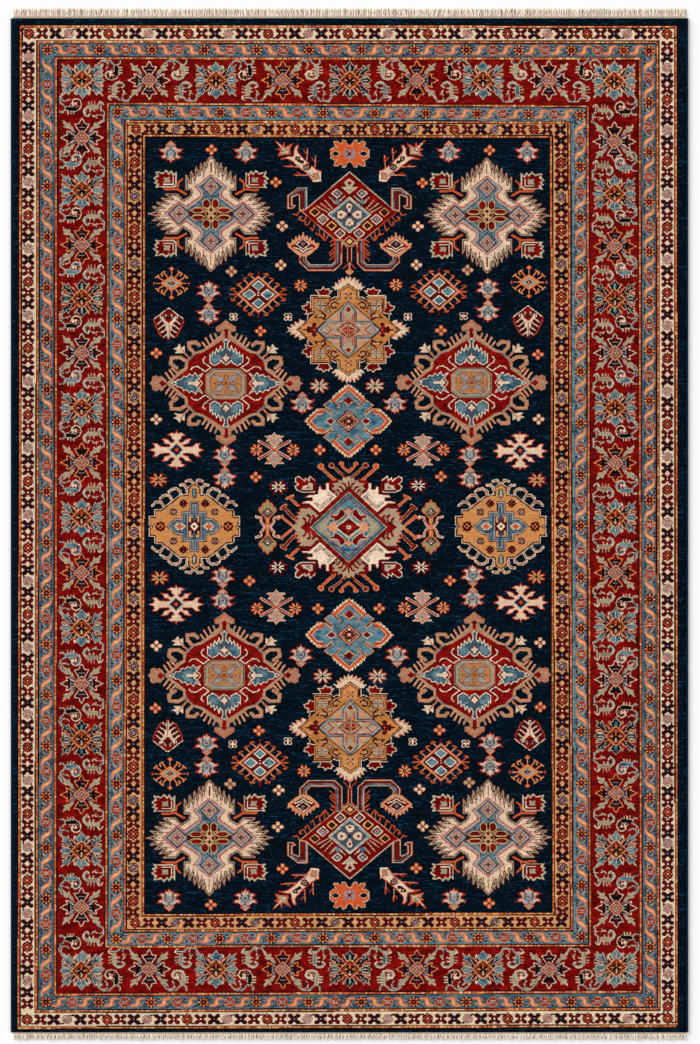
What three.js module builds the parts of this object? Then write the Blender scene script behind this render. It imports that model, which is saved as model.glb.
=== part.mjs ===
// Hand-knotted area rug, laid flat: a cotton foundation weave, a wool pile knotted on it in
// concentric bands round a field, an overcast selvedge along each long side, and at each end a
// narrow flat-woven (kilim) strip, a row of twining that locks the last weft, and the warp fringe.
//
// Units are millimetres. +Z is up, the rug's length runs along Y, and the origin is the centre of
// the footprint on the surface the rug lies on.

import * as THREE from 'three';

// ---- driving dimensions ------------------------------------------------------------------------

const BODY_W = 2000;          // width over the two selvedges
const BODY_L = 2992;          // length of the knotted body, between the two kilim strips
const END_TOP = 29.5;         // kilim strip, twining row and fringe together, at the +Y end
const END_BOTTOM = 19.5;      // the same at the -Y end, where the warps are cut shorter

const FOUNDATION_T = 2.7;     // warps and wefts, beaten down
const PILE_TOP = 9.0;         // height of the clipped pile above the floor
const GAP = 0.3;              // clearance between two pieces that touch

const SELVEDGE_D = 6.4;       // overcast selvedge, outside diameter
const SELVEDGE_BORE = 3.2;    // hollow of the overcasting that the bundled warps fill
const CORE_D = 2.6;           // bundled selvedge warps

const KILIM_L = 2.6;          // flat-woven strip between the pile and the twining row
const KILIM_T = 2.4;
const TWINING_D = 2.6;        // twined locking row
const FRINGE_T = 2.6;         // thickness of the layer of warp ends
const FRINGE_STEP = 24.8;     // pitch of the notches in the fringe's free edge
const FRINGE_NOTCH = 3.0;     // depth of those notches

// Centre lines of the six narrow barber-pole stripes, measured inwards from the body's edges.
// The two selvedge sides and the two ends differ a little, as they do on a loom-woven rug.
const STRIPES = {
  left: [27.0, 79.0, 133.3, 285.0, 339.0, 392.5],
  right: [35.7, 89.4, 142.3, 293.7, 348.3, 401.8],
  top: [24.8, 70.6, 119.0, 255.9, 306.4, 348.3],
  bottom: [15.8, 65.7, 115.6, 254.3, 301.5, 348.2],
};
const STRIPE_HALF_X = 5.6;    // half width of a stripe on the selvedge sides
const STRIPE_HALF_Y = 4.7;    // half width of a stripe at the ends

// ---- colours: base colour, roughness ---------------------------------------------------------

const NAVY = 0x081a2b;
const NAVY_LIGHT = 0x12324c;
const RED = 0x7a120c;
const CREAM = 0xcdb391;
const SLATE = 0x5f6a70;
const TAN = 0xb98654;
const GOLD = 0xc47a3f;
const COTTON = 0xd8c6ae;

function wool(name, hex, roughness = 0.95) {
  return new THREE.MeshStandardMaterial({ name, color: hex, roughness, metalness: 0 });
}

// ---- placing -----------------------------------------------------------------------------------

const rug = new THREE.Group();
rug.name = 'area_rug';

// The two ends have different lengths, so the body's centre sits a little towards -Y.
const BODY_CY = (END_BOTTOM - END_TOP) / 2;
const X0 = -BODY_W / 2;
const X1 = BODY_W / 2;
const Y0 = BODY_CY - BODY_L / 2;
const Y1 = BODY_CY + BODY_L / 2;

function add(name, geometry, material) {
  const mesh = new THREE.Mesh(geometry, material);
  mesh.name = name;
  rug.add(mesh);
  return mesh;
}

// A flat slab of thickness t standing on z = base, from an outline of [x, y] points.
function slab(points, base, t, holes = []) {
  const shape = new THREE.Shape(points.map(([x, y]) => new THREE.Vector2(x, y)));
  for (const h of holes) {
    shape.holes.push(new THREE.Path(h.map(([x, y]) => new THREE.Vector2(x, y))));
  }
  const g = new THREE.ExtrudeGeometry(shape, { depth: t, bevelEnabled: false, curveSegments: 8 });
  g.translate(0, 0, base);
  return g;
}

const rect = (x0, y0, x1, y1) => [[x0, y0], [x1, y0], [x1, y1], [x0, y1]];

// ---- foundation --------------------------------------------------------------------------------

// The knotted area lies between the selvedges and between the kilim strips.
const PX0 = X0 + SELVEDGE_D + GAP;
const PX1 = X1 - SELVEDGE_D - GAP;
const PY0 = Y0;
const PY1 = Y1;

add('foundation_weave', slab(rect(PX0, PY0, PX1, PY1), 0, FOUNDATION_T), wool('foundation_cotton', COTTON));

// ---- pile --------------------------------------------------------------------------------------

const PILE_BASE = FOUNDATION_T + GAP;
const PILE_T = PILE_TOP - PILE_BASE;

// The rectangle at the outer (side = -1) or inner (side = +1) edge of stripe k.
function stripeRect(k, side) {
  const hx = STRIPE_HALF_X * side;
  const hy = STRIPE_HALF_Y * side;
  return {
    x0: X0 + STRIPES.left[k] + hx,
    x1: X1 - STRIPES.right[k] - hx,
    y0: Y0 + STRIPES.bottom[k] + hy,
    y1: Y1 - STRIPES.top[k] - hy,
  };
}

// A closed frame of pile between an outer and an inner rectangle, keeping half the gap at each.
function pileRing(name, outer, inner, material) {
  const h = GAP / 2;
  const o = rect(outer.x0 + h, outer.y0 + h, outer.x1 - h, outer.y1 - h);
  const i = rect(inner.x0 - h, inner.y0 - h, inner.x1 + h, inner.y1 + h).reverse();
  add(name, slab(o, PILE_BASE, PILE_T, [i]), material);
}

const h = GAP / 2;
const knotted = { x0: PX0 - h, x1: PX1 + h, y0: PY0 - h, y1: PY1 + h };

pileRing('pile_edge_band', knotted, stripeRect(0, -1), wool('pile_navy', NAVY));
pileRing('stripe_1_outermost', stripeRect(0, -1), stripeRect(0, 1), wool('pile_gold', GOLD));
pileRing('pile_cream_guard', stripeRect(0, 1), stripeRect(1, -1), wool('pile_cream', CREAM));
pileRing('stripe_2', stripeRect(1, -1), stripeRect(1, 1), wool('pile_gold', GOLD));
pileRing('pile_blue_guard_outer', stripeRect(1, 1), stripeRect(2, -1), wool('pile_slate', SLATE));
pileRing('stripe_3', stripeRect(2, -1), stripeRect(2, 1), wool('pile_gold', GOLD));
pileRing('pile_main_border', stripeRect(2, 1), stripeRect(3, -1), wool('pile_red', RED));
pileRing('stripe_4', stripeRect(3, -1), stripeRect(3, 1), wool('pile_gold', GOLD));
pileRing('pile_blue_guard_inner', stripeRect(3, 1), stripeRect(4, -1), wool('pile_slate', SLATE));
pileRing('stripe_5', stripeRect(4, -1), stripeRect(4, 1), wool('pile_gold', GOLD));
pileRing('pile_tan_guard', stripeRect(4, 1), stripeRect(5, -1), wool('pile_tan', TAN));
pileRing('stripe_6_innermost', stripeRect(5, -1), stripeRect(5, 1), wool('pile_gold', GOLD));

const f = stripeRect(5, 1);
add('pile_field', slab(rect(f.x0 + h, f.y0 + h, f.x1 - h, f.y1 - h), PILE_BASE, PILE_T), wool('pile_navy', NAVY));

// ---- selvedges ---------------------------------------------------------------------------------

// Wool wound round a bundle of the outermost warps: a tube open at both ends, and its core.
function circle(r, n, phase = 0) {
  const pts = [];
  for (let i = 0; i < n; i++) {
    const a = phase + (2 * Math.PI * i) / n;
    pts.push([r * Math.cos(a), r * Math.sin(a)]);
  }
  return pts;
}

// Lays a section drawn in (x, z) along Y from y0 to y1, centred on (cx, cz).
function alongY(geometry, cx, cz, y1) {
  geometry.rotateX(Math.PI / 2);            // depth runs towards -Y
  geometry.translate(cx, y1, cz);
  return geometry;
}

// Lays a section drawn in (z, y) along X from x0, centred on (cy, cz).
function alongX(geometry, x0, cy, cz) {
  geometry.rotateY(Math.PI / 2);            // depth runs towards +X
  geometry.translate(x0, cy, cz);
  return geometry;
}

const selvedgeLength = BODY_L;
for (const [side, sign] of [['left', -1], ['right', 1]]) {
  const cx = sign * (BODY_W / 2 - SELVEDGE_D / 2);
  const cz = SELVEDGE_D / 2;
  const outer = circle(SELVEDGE_D / 2, 16, 0);
  const inner = circle(SELVEDGE_BORE / 2, 12, 0).reverse();
  add(`selvedge_overcast_${side}`,
    alongY(slab(outer, 0, selvedgeLength, [inner]), cx, cz, Y1),
    wool('selvedge_wool', NAVY_LIGHT));
  add(`selvedge_core_${side}`,
    alongY(slab(circle(CORE_D / 2, 12, 0), 0, selvedgeLength), cx, cz, Y1),
    wool('selvedge_warps', COTTON));
}

// ---- ends: kilim strip, twining row, fringe ----------------------------------------------------

// A comb-edged layer of warp ends: a slab whose free edge is notched between the bunches.
function fringeOutline(x0, x1, yBase, yTip) {
  const n = Math.round((x1 - x0) / FRINGE_STEP);
  const step = (x1 - x0) / n;
  const dir = Math.sign(yTip - yBase);
  const free = [];
  for (let i = 0; i < n; i++) {
    const a = x0 + i * step;
    free.push([a + step * 0.12, yTip]);
    free.push([a + step * 0.88, yTip]);
    if (i < n - 1) free.push([a + step, yTip - dir * FRINGE_NOTCH]);
  }
  const pts = [[x0, yBase], ...free, [x1, yBase]];
  return dir > 0 ? pts.reverse() : pts;
}

for (const [end, dir, yEdge, total] of [['top', 1, Y1, END_TOP], ['bottom', -1, Y0, END_BOTTOM]]) {
  const ka = yEdge + dir * GAP;
  const kb = ka + dir * KILIM_L;
  add(`kilim_end_${end}`,
    slab(rect(PX0, Math.min(ka, kb), PX1, Math.max(ka, kb)), 0, KILIM_T),
    wool('end_cotton', COTTON));

  const yTwine = kb + dir * (GAP + TWINING_D / 2);
  add(`end_twining_${end}`,
    alongX(slab(circle(TWINING_D / 2, 8, Math.PI / 8), 0, PX1 - PX0), PX0, yTwine, TWINING_D / 2),
    wool('end_cotton', COTTON));

  const yBase = yTwine + dir * (TWINING_D / 2 + GAP);
  add(`fringe_${end}`,
    slab(fringeOutline(PX0, PX1, yBase, yEdge + dir * total), 0, FRINGE_T),
    wool('fringe_cotton', COTTON));
}

export default rug;
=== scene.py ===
"""Hand-knotted area rug: wool pile on a cotton foundation, with overcast sides and fringed ends.

The pile is built knot by knot: the design is drawn with polygons and lines, copied from a reference photograph
onto a grid of knots, and each knot is one face of the pile's mesh, with its own yarn colour.
"""
import math

import bpy
import numpy as np
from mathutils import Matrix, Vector


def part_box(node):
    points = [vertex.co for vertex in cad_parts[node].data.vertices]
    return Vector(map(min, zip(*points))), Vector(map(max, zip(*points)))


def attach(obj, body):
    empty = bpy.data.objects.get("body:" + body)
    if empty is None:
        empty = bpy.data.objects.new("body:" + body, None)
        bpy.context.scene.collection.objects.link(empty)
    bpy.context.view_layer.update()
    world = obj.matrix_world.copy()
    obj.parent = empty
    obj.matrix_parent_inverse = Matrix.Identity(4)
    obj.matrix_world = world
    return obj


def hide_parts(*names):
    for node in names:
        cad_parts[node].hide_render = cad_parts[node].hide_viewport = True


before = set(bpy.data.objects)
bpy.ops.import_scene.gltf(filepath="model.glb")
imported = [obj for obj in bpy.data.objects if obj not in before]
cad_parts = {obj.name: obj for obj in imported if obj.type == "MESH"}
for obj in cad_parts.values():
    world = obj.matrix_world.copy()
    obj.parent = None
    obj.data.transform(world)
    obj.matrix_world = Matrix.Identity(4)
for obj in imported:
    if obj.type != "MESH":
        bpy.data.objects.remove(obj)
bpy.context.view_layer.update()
scene = bpy.context.scene


# ------------------------------------------------------------------ pattern engine
# The design's coordinates are those of the reference photograph: one unit is one of its pixels,
# PX metres on the rug. u runs across, v runs down the length from the +Y end. The woven body spans u 10.85..688.40 and v 18.50..1032.05.
PX = 2.952e-3
U0, U1 = 13.12, 686.13      # knotted area, inside the selvedges
V0, V1 = 18.50, 1032.05
NX, NY = 842, 1520          # knots across and along
DU, DV = (U1 - U0) / NX, (V1 - V0) / NY
CU = U0 + DU * (np.arange(NX) + 0.5)
CV = V0 + DV * (np.arange(NY) + 0.5)

# yarn colours, sRGB 0..255: started from the photograph's main colours, then tuned by comparison
YARN = {
    'n': (2, 13, 22), 'k': (14, 11, 17), 'r': (122, 12, 8), 'R': (152, 18, 11), 'm': (66, 12, 18),
    'c': (223, 192, 162), 'w': (228, 216, 188), 't': (205, 158, 108), 'g': (203, 136, 78), 'y': (232, 176, 100),
    'o': (205, 86, 40), 's': (214, 142, 104), 'b': (98, 126, 134), 'B': (96, 136, 148), 'd': (48, 72, 90),
    'l': (152, 134, 140), 'e': (160, 150, 122), 'p': (140, 120, 104), 'q': (176, 126, 96), 'a': (190, 60, 34),
    'C': (224, 199, 166), 'T': (208, 154, 102), 'S': (76, 100, 110), 'D': (62, 84, 98), 'v': (113, 9, 6),
    'O': (200, 105, 55), 'U': (170, 84, 44), 'P': (226, 142, 84), 'f': (236, 172, 116), 'j': (96, 150, 168), 'Y': (170, 110, 60), 'W': (240, 214, 184), 'A': (158, 153, 148), 'H': (188, 146, 124), 'Z': (160, 138, 98),
    'h': (196, 176, 146), 'i': (178, 148, 118), 'x': (96, 26, 22), 'z': (236, 214, 176), 'G': (188, 120, 62),
}
KEYS = list(YARN)
KI = {k: i for i, k in enumerate(KEYS)}
CLOTH = np.zeros((NY, NX), np.uint8)

WU = ([11, 20, 37.6, 56, 107.4, 143.8, 350, 552, 589, 640, 676, 688],
      [0, -.85, -.75, -.3, -.75, -.3, .3, 1.1, .95, .5, .3, 0])
WV = ([18.5, 26.9, 59, 105.2, 122.3, 136.5, 525, 914, 930, 946, 993, 1010, 1027, 1032],
      [0, .1, .1, 1.1, .5, .6, 0, -.65, -.6, -.4, -.9, -.75, -.6, 0])


def warp(P):
    """Design point to its place on the cloth. WU and WV are small offsets of the bands, measured on
    the reference photograph."""
    P = np.asarray(P, float)
    u, v = P[:, 0], P[:, 1]
    return np.stack([u + np.interp(u, *WU) * (v - 525) / 360,
                     v + np.interp(v, *WV) * (u - 350) / 180], 1)


def back(x, y):
    """Where to start for a point to end up at x, y on the cloth."""
    P = warp([(x, y)])[0]
    return 2 * x - P[0], 2 * y - P[1]


def span(lo, hi, o, d, n):
    return max(0, int((lo - o) / d) - 1), min(n, int((hi - o) / d) + 2)


def fill(c, P):
    P = warp(P)
    i0, i1 = span(P[:, 0].min(), P[:, 0].max(), U0, DU, NX)
    j0, j1 = span(P[:, 1].min(), P[:, 1].max(), V0, DV, NY)
    if i1 <= i0 or j1 <= j0:
        return
    xs, ys = CU[i0:i1], CV[j0:j1]
    ins = np.zeros((j1 - j0, i1 - i0), bool)
    Q = np.roll(P, -1, 0)
    for (x1, y1), (x2, y2) in zip(P, Q):
        if y1 == y2:
            continue
        rows = np.nonzero((ys > min(y1, y2)) & (ys <= max(y1, y2)))[0]
        if len(rows):
            xi = x1 + (ys[rows] - y1) * (x2 - x1) / (y2 - y1)
            ins[rows] ^= xs[None, :] < xi[:, None]
    CLOTH[j0:j1, i0:i1][ins] = KI[c]


def stroke(c, w, P, closed=False):
    P = warp(P)
    if closed:
        P = np.concatenate([P, P[:1]])
    r = w / 2
    for (x1, y1), (x2, y2) in zip(P[:-1], P[1:]):
        i0, i1 = span(min(x1, x2) - r, max(x1, x2) + r, U0, DU, NX)
        j0, j1 = span(min(y1, y2) - r, max(y1, y2) + r, V0, DV, NY)
        if i1 <= i0 or j1 <= j0:
            continue
        X, Y = CU[None, i0:i1] - x1, CV[j0:j1, None] - y1
        dx, dy = x2 - x1, y2 - y1
        L = dx * dx + dy * dy
        t = np.clip((X * dx + Y * dy) / L, 0, 1) if L > 0 else 0.0
        CLOTH[j0:j1, i0:i1][(X - t * dx) ** 2 + (Y - t * dy) ** 2 <= r * r] = KI[c]


def disc(c, x, y, rx, ry=None):
    ry = ry or rx
    a = np.arange(12) * math.tau / 12
    fill(c, np.stack([x + rx * np.cos(a), y + ry * np.sin(a)], 1))


# ------------------------------------------------------------------ motif language
# A motif is text: one shape a line, "op[colour args] sym: x,y x,y ...", drawn in order.
#   F c        filled outline            L c w      line            K c w   closed line
#   O c d w    filled with c, edged with d of width w
#   Q/E        as F/O, but the points run from the top centre to the right end of one quarter
#   H/J        as F/O, but the points run down the right half from the top centre to the bottom
#   D c rx ry  disc at each point
# sym: . as drawn, x mirrored left-right, y mirrored top-bottom, q both, d the same as q
MOTIF = {}


def motif(name, ox, oy, k, text):
    ops = []
    for line in text.strip().splitlines():
        line = line.split('#')[0].strip()
        if not line:
            continue
        head, pts = line.split(':')
        head = head.split()
        P = np.array([[float(t) for t in p.split(',')] for p in pts.split()])
        P = (P - (ox, oy)) / k
        ops.append((head[0], head[1:-1], head[-1], P))
    MOTIF[name] = ops


def draw(name, cx, cy, fx=1, fy=1, sx=1.0, sy=1.0, swap=None, rot=0):
    """fx, fy: -1 mirrors the motif. swap: 'ab cd' draws yarn a as b and c as d. rot: quarter turns."""
    sw = dict(p for p in (swap or '').split()) if swap else {}
    cx, cy = back(cx, cy)
    ca, sa = [(1, 0), (0, 1), (-1, 0), (0, -1)][rot % 4]

    def place(P):
        x, y = P[:, 0] * fx, P[:, 1] * fy
        x, y = x * ca - y * sa, x * sa + y * ca
        return np.stack([cx + x * sx, cy + y * sy], 1)

    for op, args, sym, P in MOTIF[name]:
        if op in 'QE':
            m = lambda a, b: P[:, :] * (a, b)
            P1 = np.concatenate([m(1, 1), m(1, -1)[::-1], m(-1, -1), m(-1, 1)[::-1]])
            op = 'F' if op == 'Q' else 'O'
        elif op in 'HJ':
            P1 = np.concatenate([P, (P * (-1, 1))[::-1]])
            op = 'F' if op == 'H' else 'O'
        else:
            P1 = P
        flips = {'.': [(1, 1)], 'x': [(1, 1), (-1, 1)], 'y': [(1, 1), (1, -1)],
                 'q': [(1, 1), (-1, 1), (1, -1), (-1, -1)]}.get(sym)
        if flips is None:
            flips = [(1, 1), (-1, -1)] if sym == 'r' else [(1, 1), (-1, 1), (1, -1), (-1, -1)]
        for a, b in flips:
            R = place(P1 * (a, b))
            c = sw.get(args[0], args[0])
            if op == 'F':
                fill(c, R)
            elif op == 'L':
                stroke(c, float(args[1]), R)
            elif op == 'K':
                stroke(c, float(args[1]), R, True)
            elif op == 'O':
                fill(c, R)
                stroke(sw.get(args[1], args[1]), float(args[2]), R, True)
            elif op == 'D':
                rx, ry = float(args[1]) * sx, float(args[-1]) * sy
                if rot % 2:
                    rx, ry = ry, rx
                for x, y in R:
                    disc(c, x, y, rx, ry)
# ------------------------------------------------------------------ field motifs
motif('cross', 745, 775, 10.453, '''
E c x 2.5 q: 745,176 782,214 796,290 812,238 824,334 850,250 870,374 900,288 914,414 952,334 962,452 1004,374 1003,522 955,520 945,540 962,590 1038,638 1100,570 1220,570 1152,624 1264,612 1194,670 1310,656 1238,716 1356,702 1296,748 1398,778
L e .9 q: 745,176 782,214 796,290 812,238 824,334 850,250 870,374 900,288 914,414 952,334 962,452 1004,374 1003,522 955,520 945,540 962,590 1038,638 1100,570 1220,570 1152,624 1264,612 1194,670 1310,656 1238,716 1356,702 1296,748 1398,778
L v .6 q: 824,334 824,394
L v .6 q: 870,374 870,432
L v .6 q: 914,414 914,468
L v .6 q: 796,290 794,362
L v 1.1 y: 745,240 745,338
L v .6 q: 1152,624 1100,644
L v .6 q: 1194,670 1136,680
L v .6 q: 1238,716 1176,720
L v .6 q: 1296,748 1222,750
L v 1.1 x: 1336,776 1266,776
Q a q: 745,356 920,493 862,554 862,588 1008,690 1078,638 1246,776
Q A q: 745,368 906,493 850,553 850,596 1008,704 1078,652 1230,776
Q x q: 745,398 870,493 824,540 834,612 1002,740 1078,680 1196,776
Q b q: 745,405 862,493 817,540 827,616 1000,750 1078,688 1186,776
F x y: 745,410 768,462 834,490 768,520 745,578 722,520 656,490 722,462
F s y: 745,432 762,472 812,490 762,508 745,552 728,508 678,490 728,472
F d y: 745,455 757,490 745,522 733,490
D R .9 .9 y: 745,492
F x x: 1078,690 1098,752 1172,776 1098,800 1078,864 1058,800 990,776 1058,752
F s x: 1078,712 1092,760 1142,776 1092,792 1078,842 1064,792 1014,776 1064,760
F v x: 1078,740 1088,776 1078,812 1068,776
F b y: 745,560 800,620 690,620
L k .4 y: 690,592 745,625 800,592
Q m q: 745,628 800,634 850,694 940,716 990,773
K x 1.0 y: 745,388 838,490 745,592 652,490
F A y: 745,402 826,490 745,578 664,490
O s x .6 y: 745,430 802,490 745,550 688,490
F d y: 745,444 757,478 790,490 757,502 745,536 733,502 700,490 733,478
D R .7 .7 y: 745,490
K x 1.0 x: 1078,668 1194,776 1078,884 962,776
F A x: 1078,684 1176,776 1078,868 980,776
O s x .6 x: 1078,714 1144,776 1078,838 1012,776
F d x: 1078,730 1092,763 1130,776 1092,789 1078,822 1064,789 1026,776 1064,763
D R .7 .7 x: 1078,776
F t q: 755,640 792,606 834,642 834,702 792,728 755,704
F k q: 763,648 792,618 824,650 824,694 792,715 763,694
F r q: 770,654 792,632 815,656 815,688 792,702 770,686
F t q: 796,742 843,706 922,706 962,742 922,768 843,768
F k q: 812,740 850,716 915,716 948,740 915,756 850,756
F r q: 822,740 853,724 910,724 934,740 910,750 853,750
F t .: 745,680 812,772 745,864 678,772
F m y: 745,706 766,732 745,756 724,732
F m x: 785,750 806,773 785,796 764,773
D l .8 .8 .: 745,773
D e .5 .5 q: 765,752
F h q: 1103,328 1130,362 1165,320 1182,350 1216,314 1246,345 1330,332 1314,372 1352,410 1317,425 1342,455 1312,466 1332,505 1280,496 1245,503 1130,503 1103,484
F v q: 1117,358 1140,384 1165,344 1186,370 1216,334 1250,364 1312,344 1290,382 1336,410 1295,426 1322,450 1285,462 1302,490 1145,490 1117,466
L w .9 q: 1142,395 1142,468 1240,468
F e q: 1172,446 1180,388 1210,400 1240,392 1232,430 1250,446
L k .5 q: 1092,500 1115,512 1240,512
L o 2.0 q: 1008,568 1095,520 1238,522
L o 1.7 q: 1095,520 1086,445 1046,412
D R .7 .7 q: 1242,524
''')
motif('palm', 780, 830, 10.453, '''
K o 1.5 x: 1228,790 1228,560 1320,560 1424,640 1424,768 1378,768 1350,744 1386,738 1386,652 1318,622 1302,636 1302,796
O x h .7 x: 1228,790 1228,560 1320,560 1424,640 1424,768 1378,768 1350,744 1386,738 1386,652 1318,622 1302,636 1302,796
L b 1.1 x: 1240,770 1240,580 1310,578 1385,630
L v 1.3 x: 1278,785 1278,615
L o 1.0 x: 1300,790 1332,842 1372,828
L o 1.0 x: 1282,858 1308,884 1300,858
L o 1.0 x: 1232,858 1262,905 1308,884
L o 1.0 x: 1190,895 1218,948 1246,938 1238,908
L o 1.0 x: 1140,925 1165,1002 1192,975
L o 1.0 x: 1085,960 1100,1050 1138,1030
L o 1.0 x: 1045,990 1050,1100 1085,1045
L o 1.0 x: 985,1030 1036,1106 1062,1080
L o 1.0 x: 930,1085 975,1118
J v h .9 .: 780,388 1236,778 1296,792 930,1096 845,1135 780,1085
L v 1.6 x: 780,408 1225,786
L a .7 x: 1290,798 925,1092
J b w .8 .: 780,652 1000,832 780,1028
J D w .4 .: 780,672 975,832 780,1006
O c x .7 x: 745,745 760,715 800,712 822,750 800,785 788,812 772,812 760,785
O c x .7 .: 738,905 765,870 795,870 828,905 830,950 800,945 780,965 758,945 730,955
O c x .7 x: 800,835 830,800 860,785 905,795 912,835 905,872 860,885 830,865
D m 1.3 1.5 .: 780,752
D m 1.6 1.3 x: 868,835
D m 1.2 1.2 .: 780,928
D k 1.4 1.6 .: 780,835
F h .: 780,455 835,500 805,545 868,545 780,622 692,545 755,545 725,500
F v .: 780,478 808,505 780,532 752,505
D R 1 1.2 .: 780,495
F e .: 720,550 780,608 840,550 790,570 770,570
O k w .9 x: 910,570 965,612 910,658 860,612
F l x: 910,590 938,612 910,636 885,612
F b x: 862,650 900,690 905,660 930,690 965,655 955,700 915,730 880,700
L w .7 x: 830,640 880,690
L h .8 x: 990,650 930,720
L h .8 x: 1040,680 960,770
L h .8 x: 1085,715 985,790
L h .8 x: 1118,748 1000,815
L v 1.0 x: 1010,665 940,745
L v 1.0 x: 1062,698 972,780
L v 1.0 x: 1100,735 995,800
O k y .8 x: 1145,765 1198,808 1145,855 1092,808
D x 1.6 1.6 x: 1145,808
O x w .9 x: 1062,832 1122,882 1062,938 1002,882
F l x: 1062,850 1100,882 1062,912 1028,882
D R .8 .8 x: 1062,882
O k y 1.1 x: 968,908 1018,952 968,996 918,952
D x 1.2 1.2 x: 968,952
O x w .9 x: 878,980 938,1028 878,1080 824,1028
D l 1.8 1.8 x: 878,1028
D R .9 .9 x: 878,1028
L a .8 x: 780,1052 840,1105
O k s .9 .: 780,1062 845,1112 780,1172 715,1112
F y .: 780,1085 812,1112 780,1140 748,1112
K o 1.3 x: 862,1098 925,1098 925,1325 965,1360 1190,1360 1238,1310 1232,1262 1298,1262 1300,1330 1210,1416 940,1416 866,1345
O x h .7 x: 862,1098 925,1098 925,1325 965,1360 1190,1360 1238,1310 1232,1262 1298,1262 1300,1330 1210,1416 940,1416 866,1345
L b 1.3 x: 908,1110 908,1332 962,1376 1200,1376 1260,1320 1262,1270
L v 1.2 x: 884,1110 884,1338 945,1396 1200,1396
L a 1.0 x: 930,1098 930,1320
L o .9 x: 938,1092 985,1120
L o .9 x: 935,1130 978,1165 960,1140
L o .9 x: 935,1180 990,1240
L o .9 x: 938,1225 982,1262
L o .9 x: 940,1260 985,1306
F v .: 705,1130 780,1200 855,1130 850,1160 805,1190 805,1325 755,1325 755,1190 710,1160
L s .8 x: 712,1135 712,1152
L s .8 x: 845,1128 798,1182 798,1325
L s .8 x: 762,1325 762,1190
L k 1.2 .: 780,1190 780,1330
L a 1.0 x: 780,1335 845,1398
L s 1.0 .: 780,1335 780,1420
F s .: 780,1390 825,1432 780,1470 735,1432
J s a .7 .: 780,1404 805,1430 780,1452
F s x: 1265,1008 1285,1075 1310,1040 1320,1088 1348,1060 1358,1112 1382,1090 1390,1138 1432,1128 1425,1172 1320,1258 1265,1275 1205,1258 1105,1178 1098,1130 1142,1138 1150,1095 1175,1120 1185,1068 1212,1092 1222,1045 1248,1078
F v x: 1265,1075 1400,1172 1265,1262 1130,1172
K a .6 x: 1265,1078 1395,1170 1265,1258 1135,1170
O m w .7 x: 1265,1092 1338,1145 1265,1195 1195,1145
D b 1.8 1.8 x: 1265,1140
D R .9 .9 x: 1262,1135
L w 1.0 x: 1170,1180 1225,1195 1265,1225 1305,1195 1358,1180
L h .8 x: 1185,1205 1265,1250 1345,1205
''')
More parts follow.
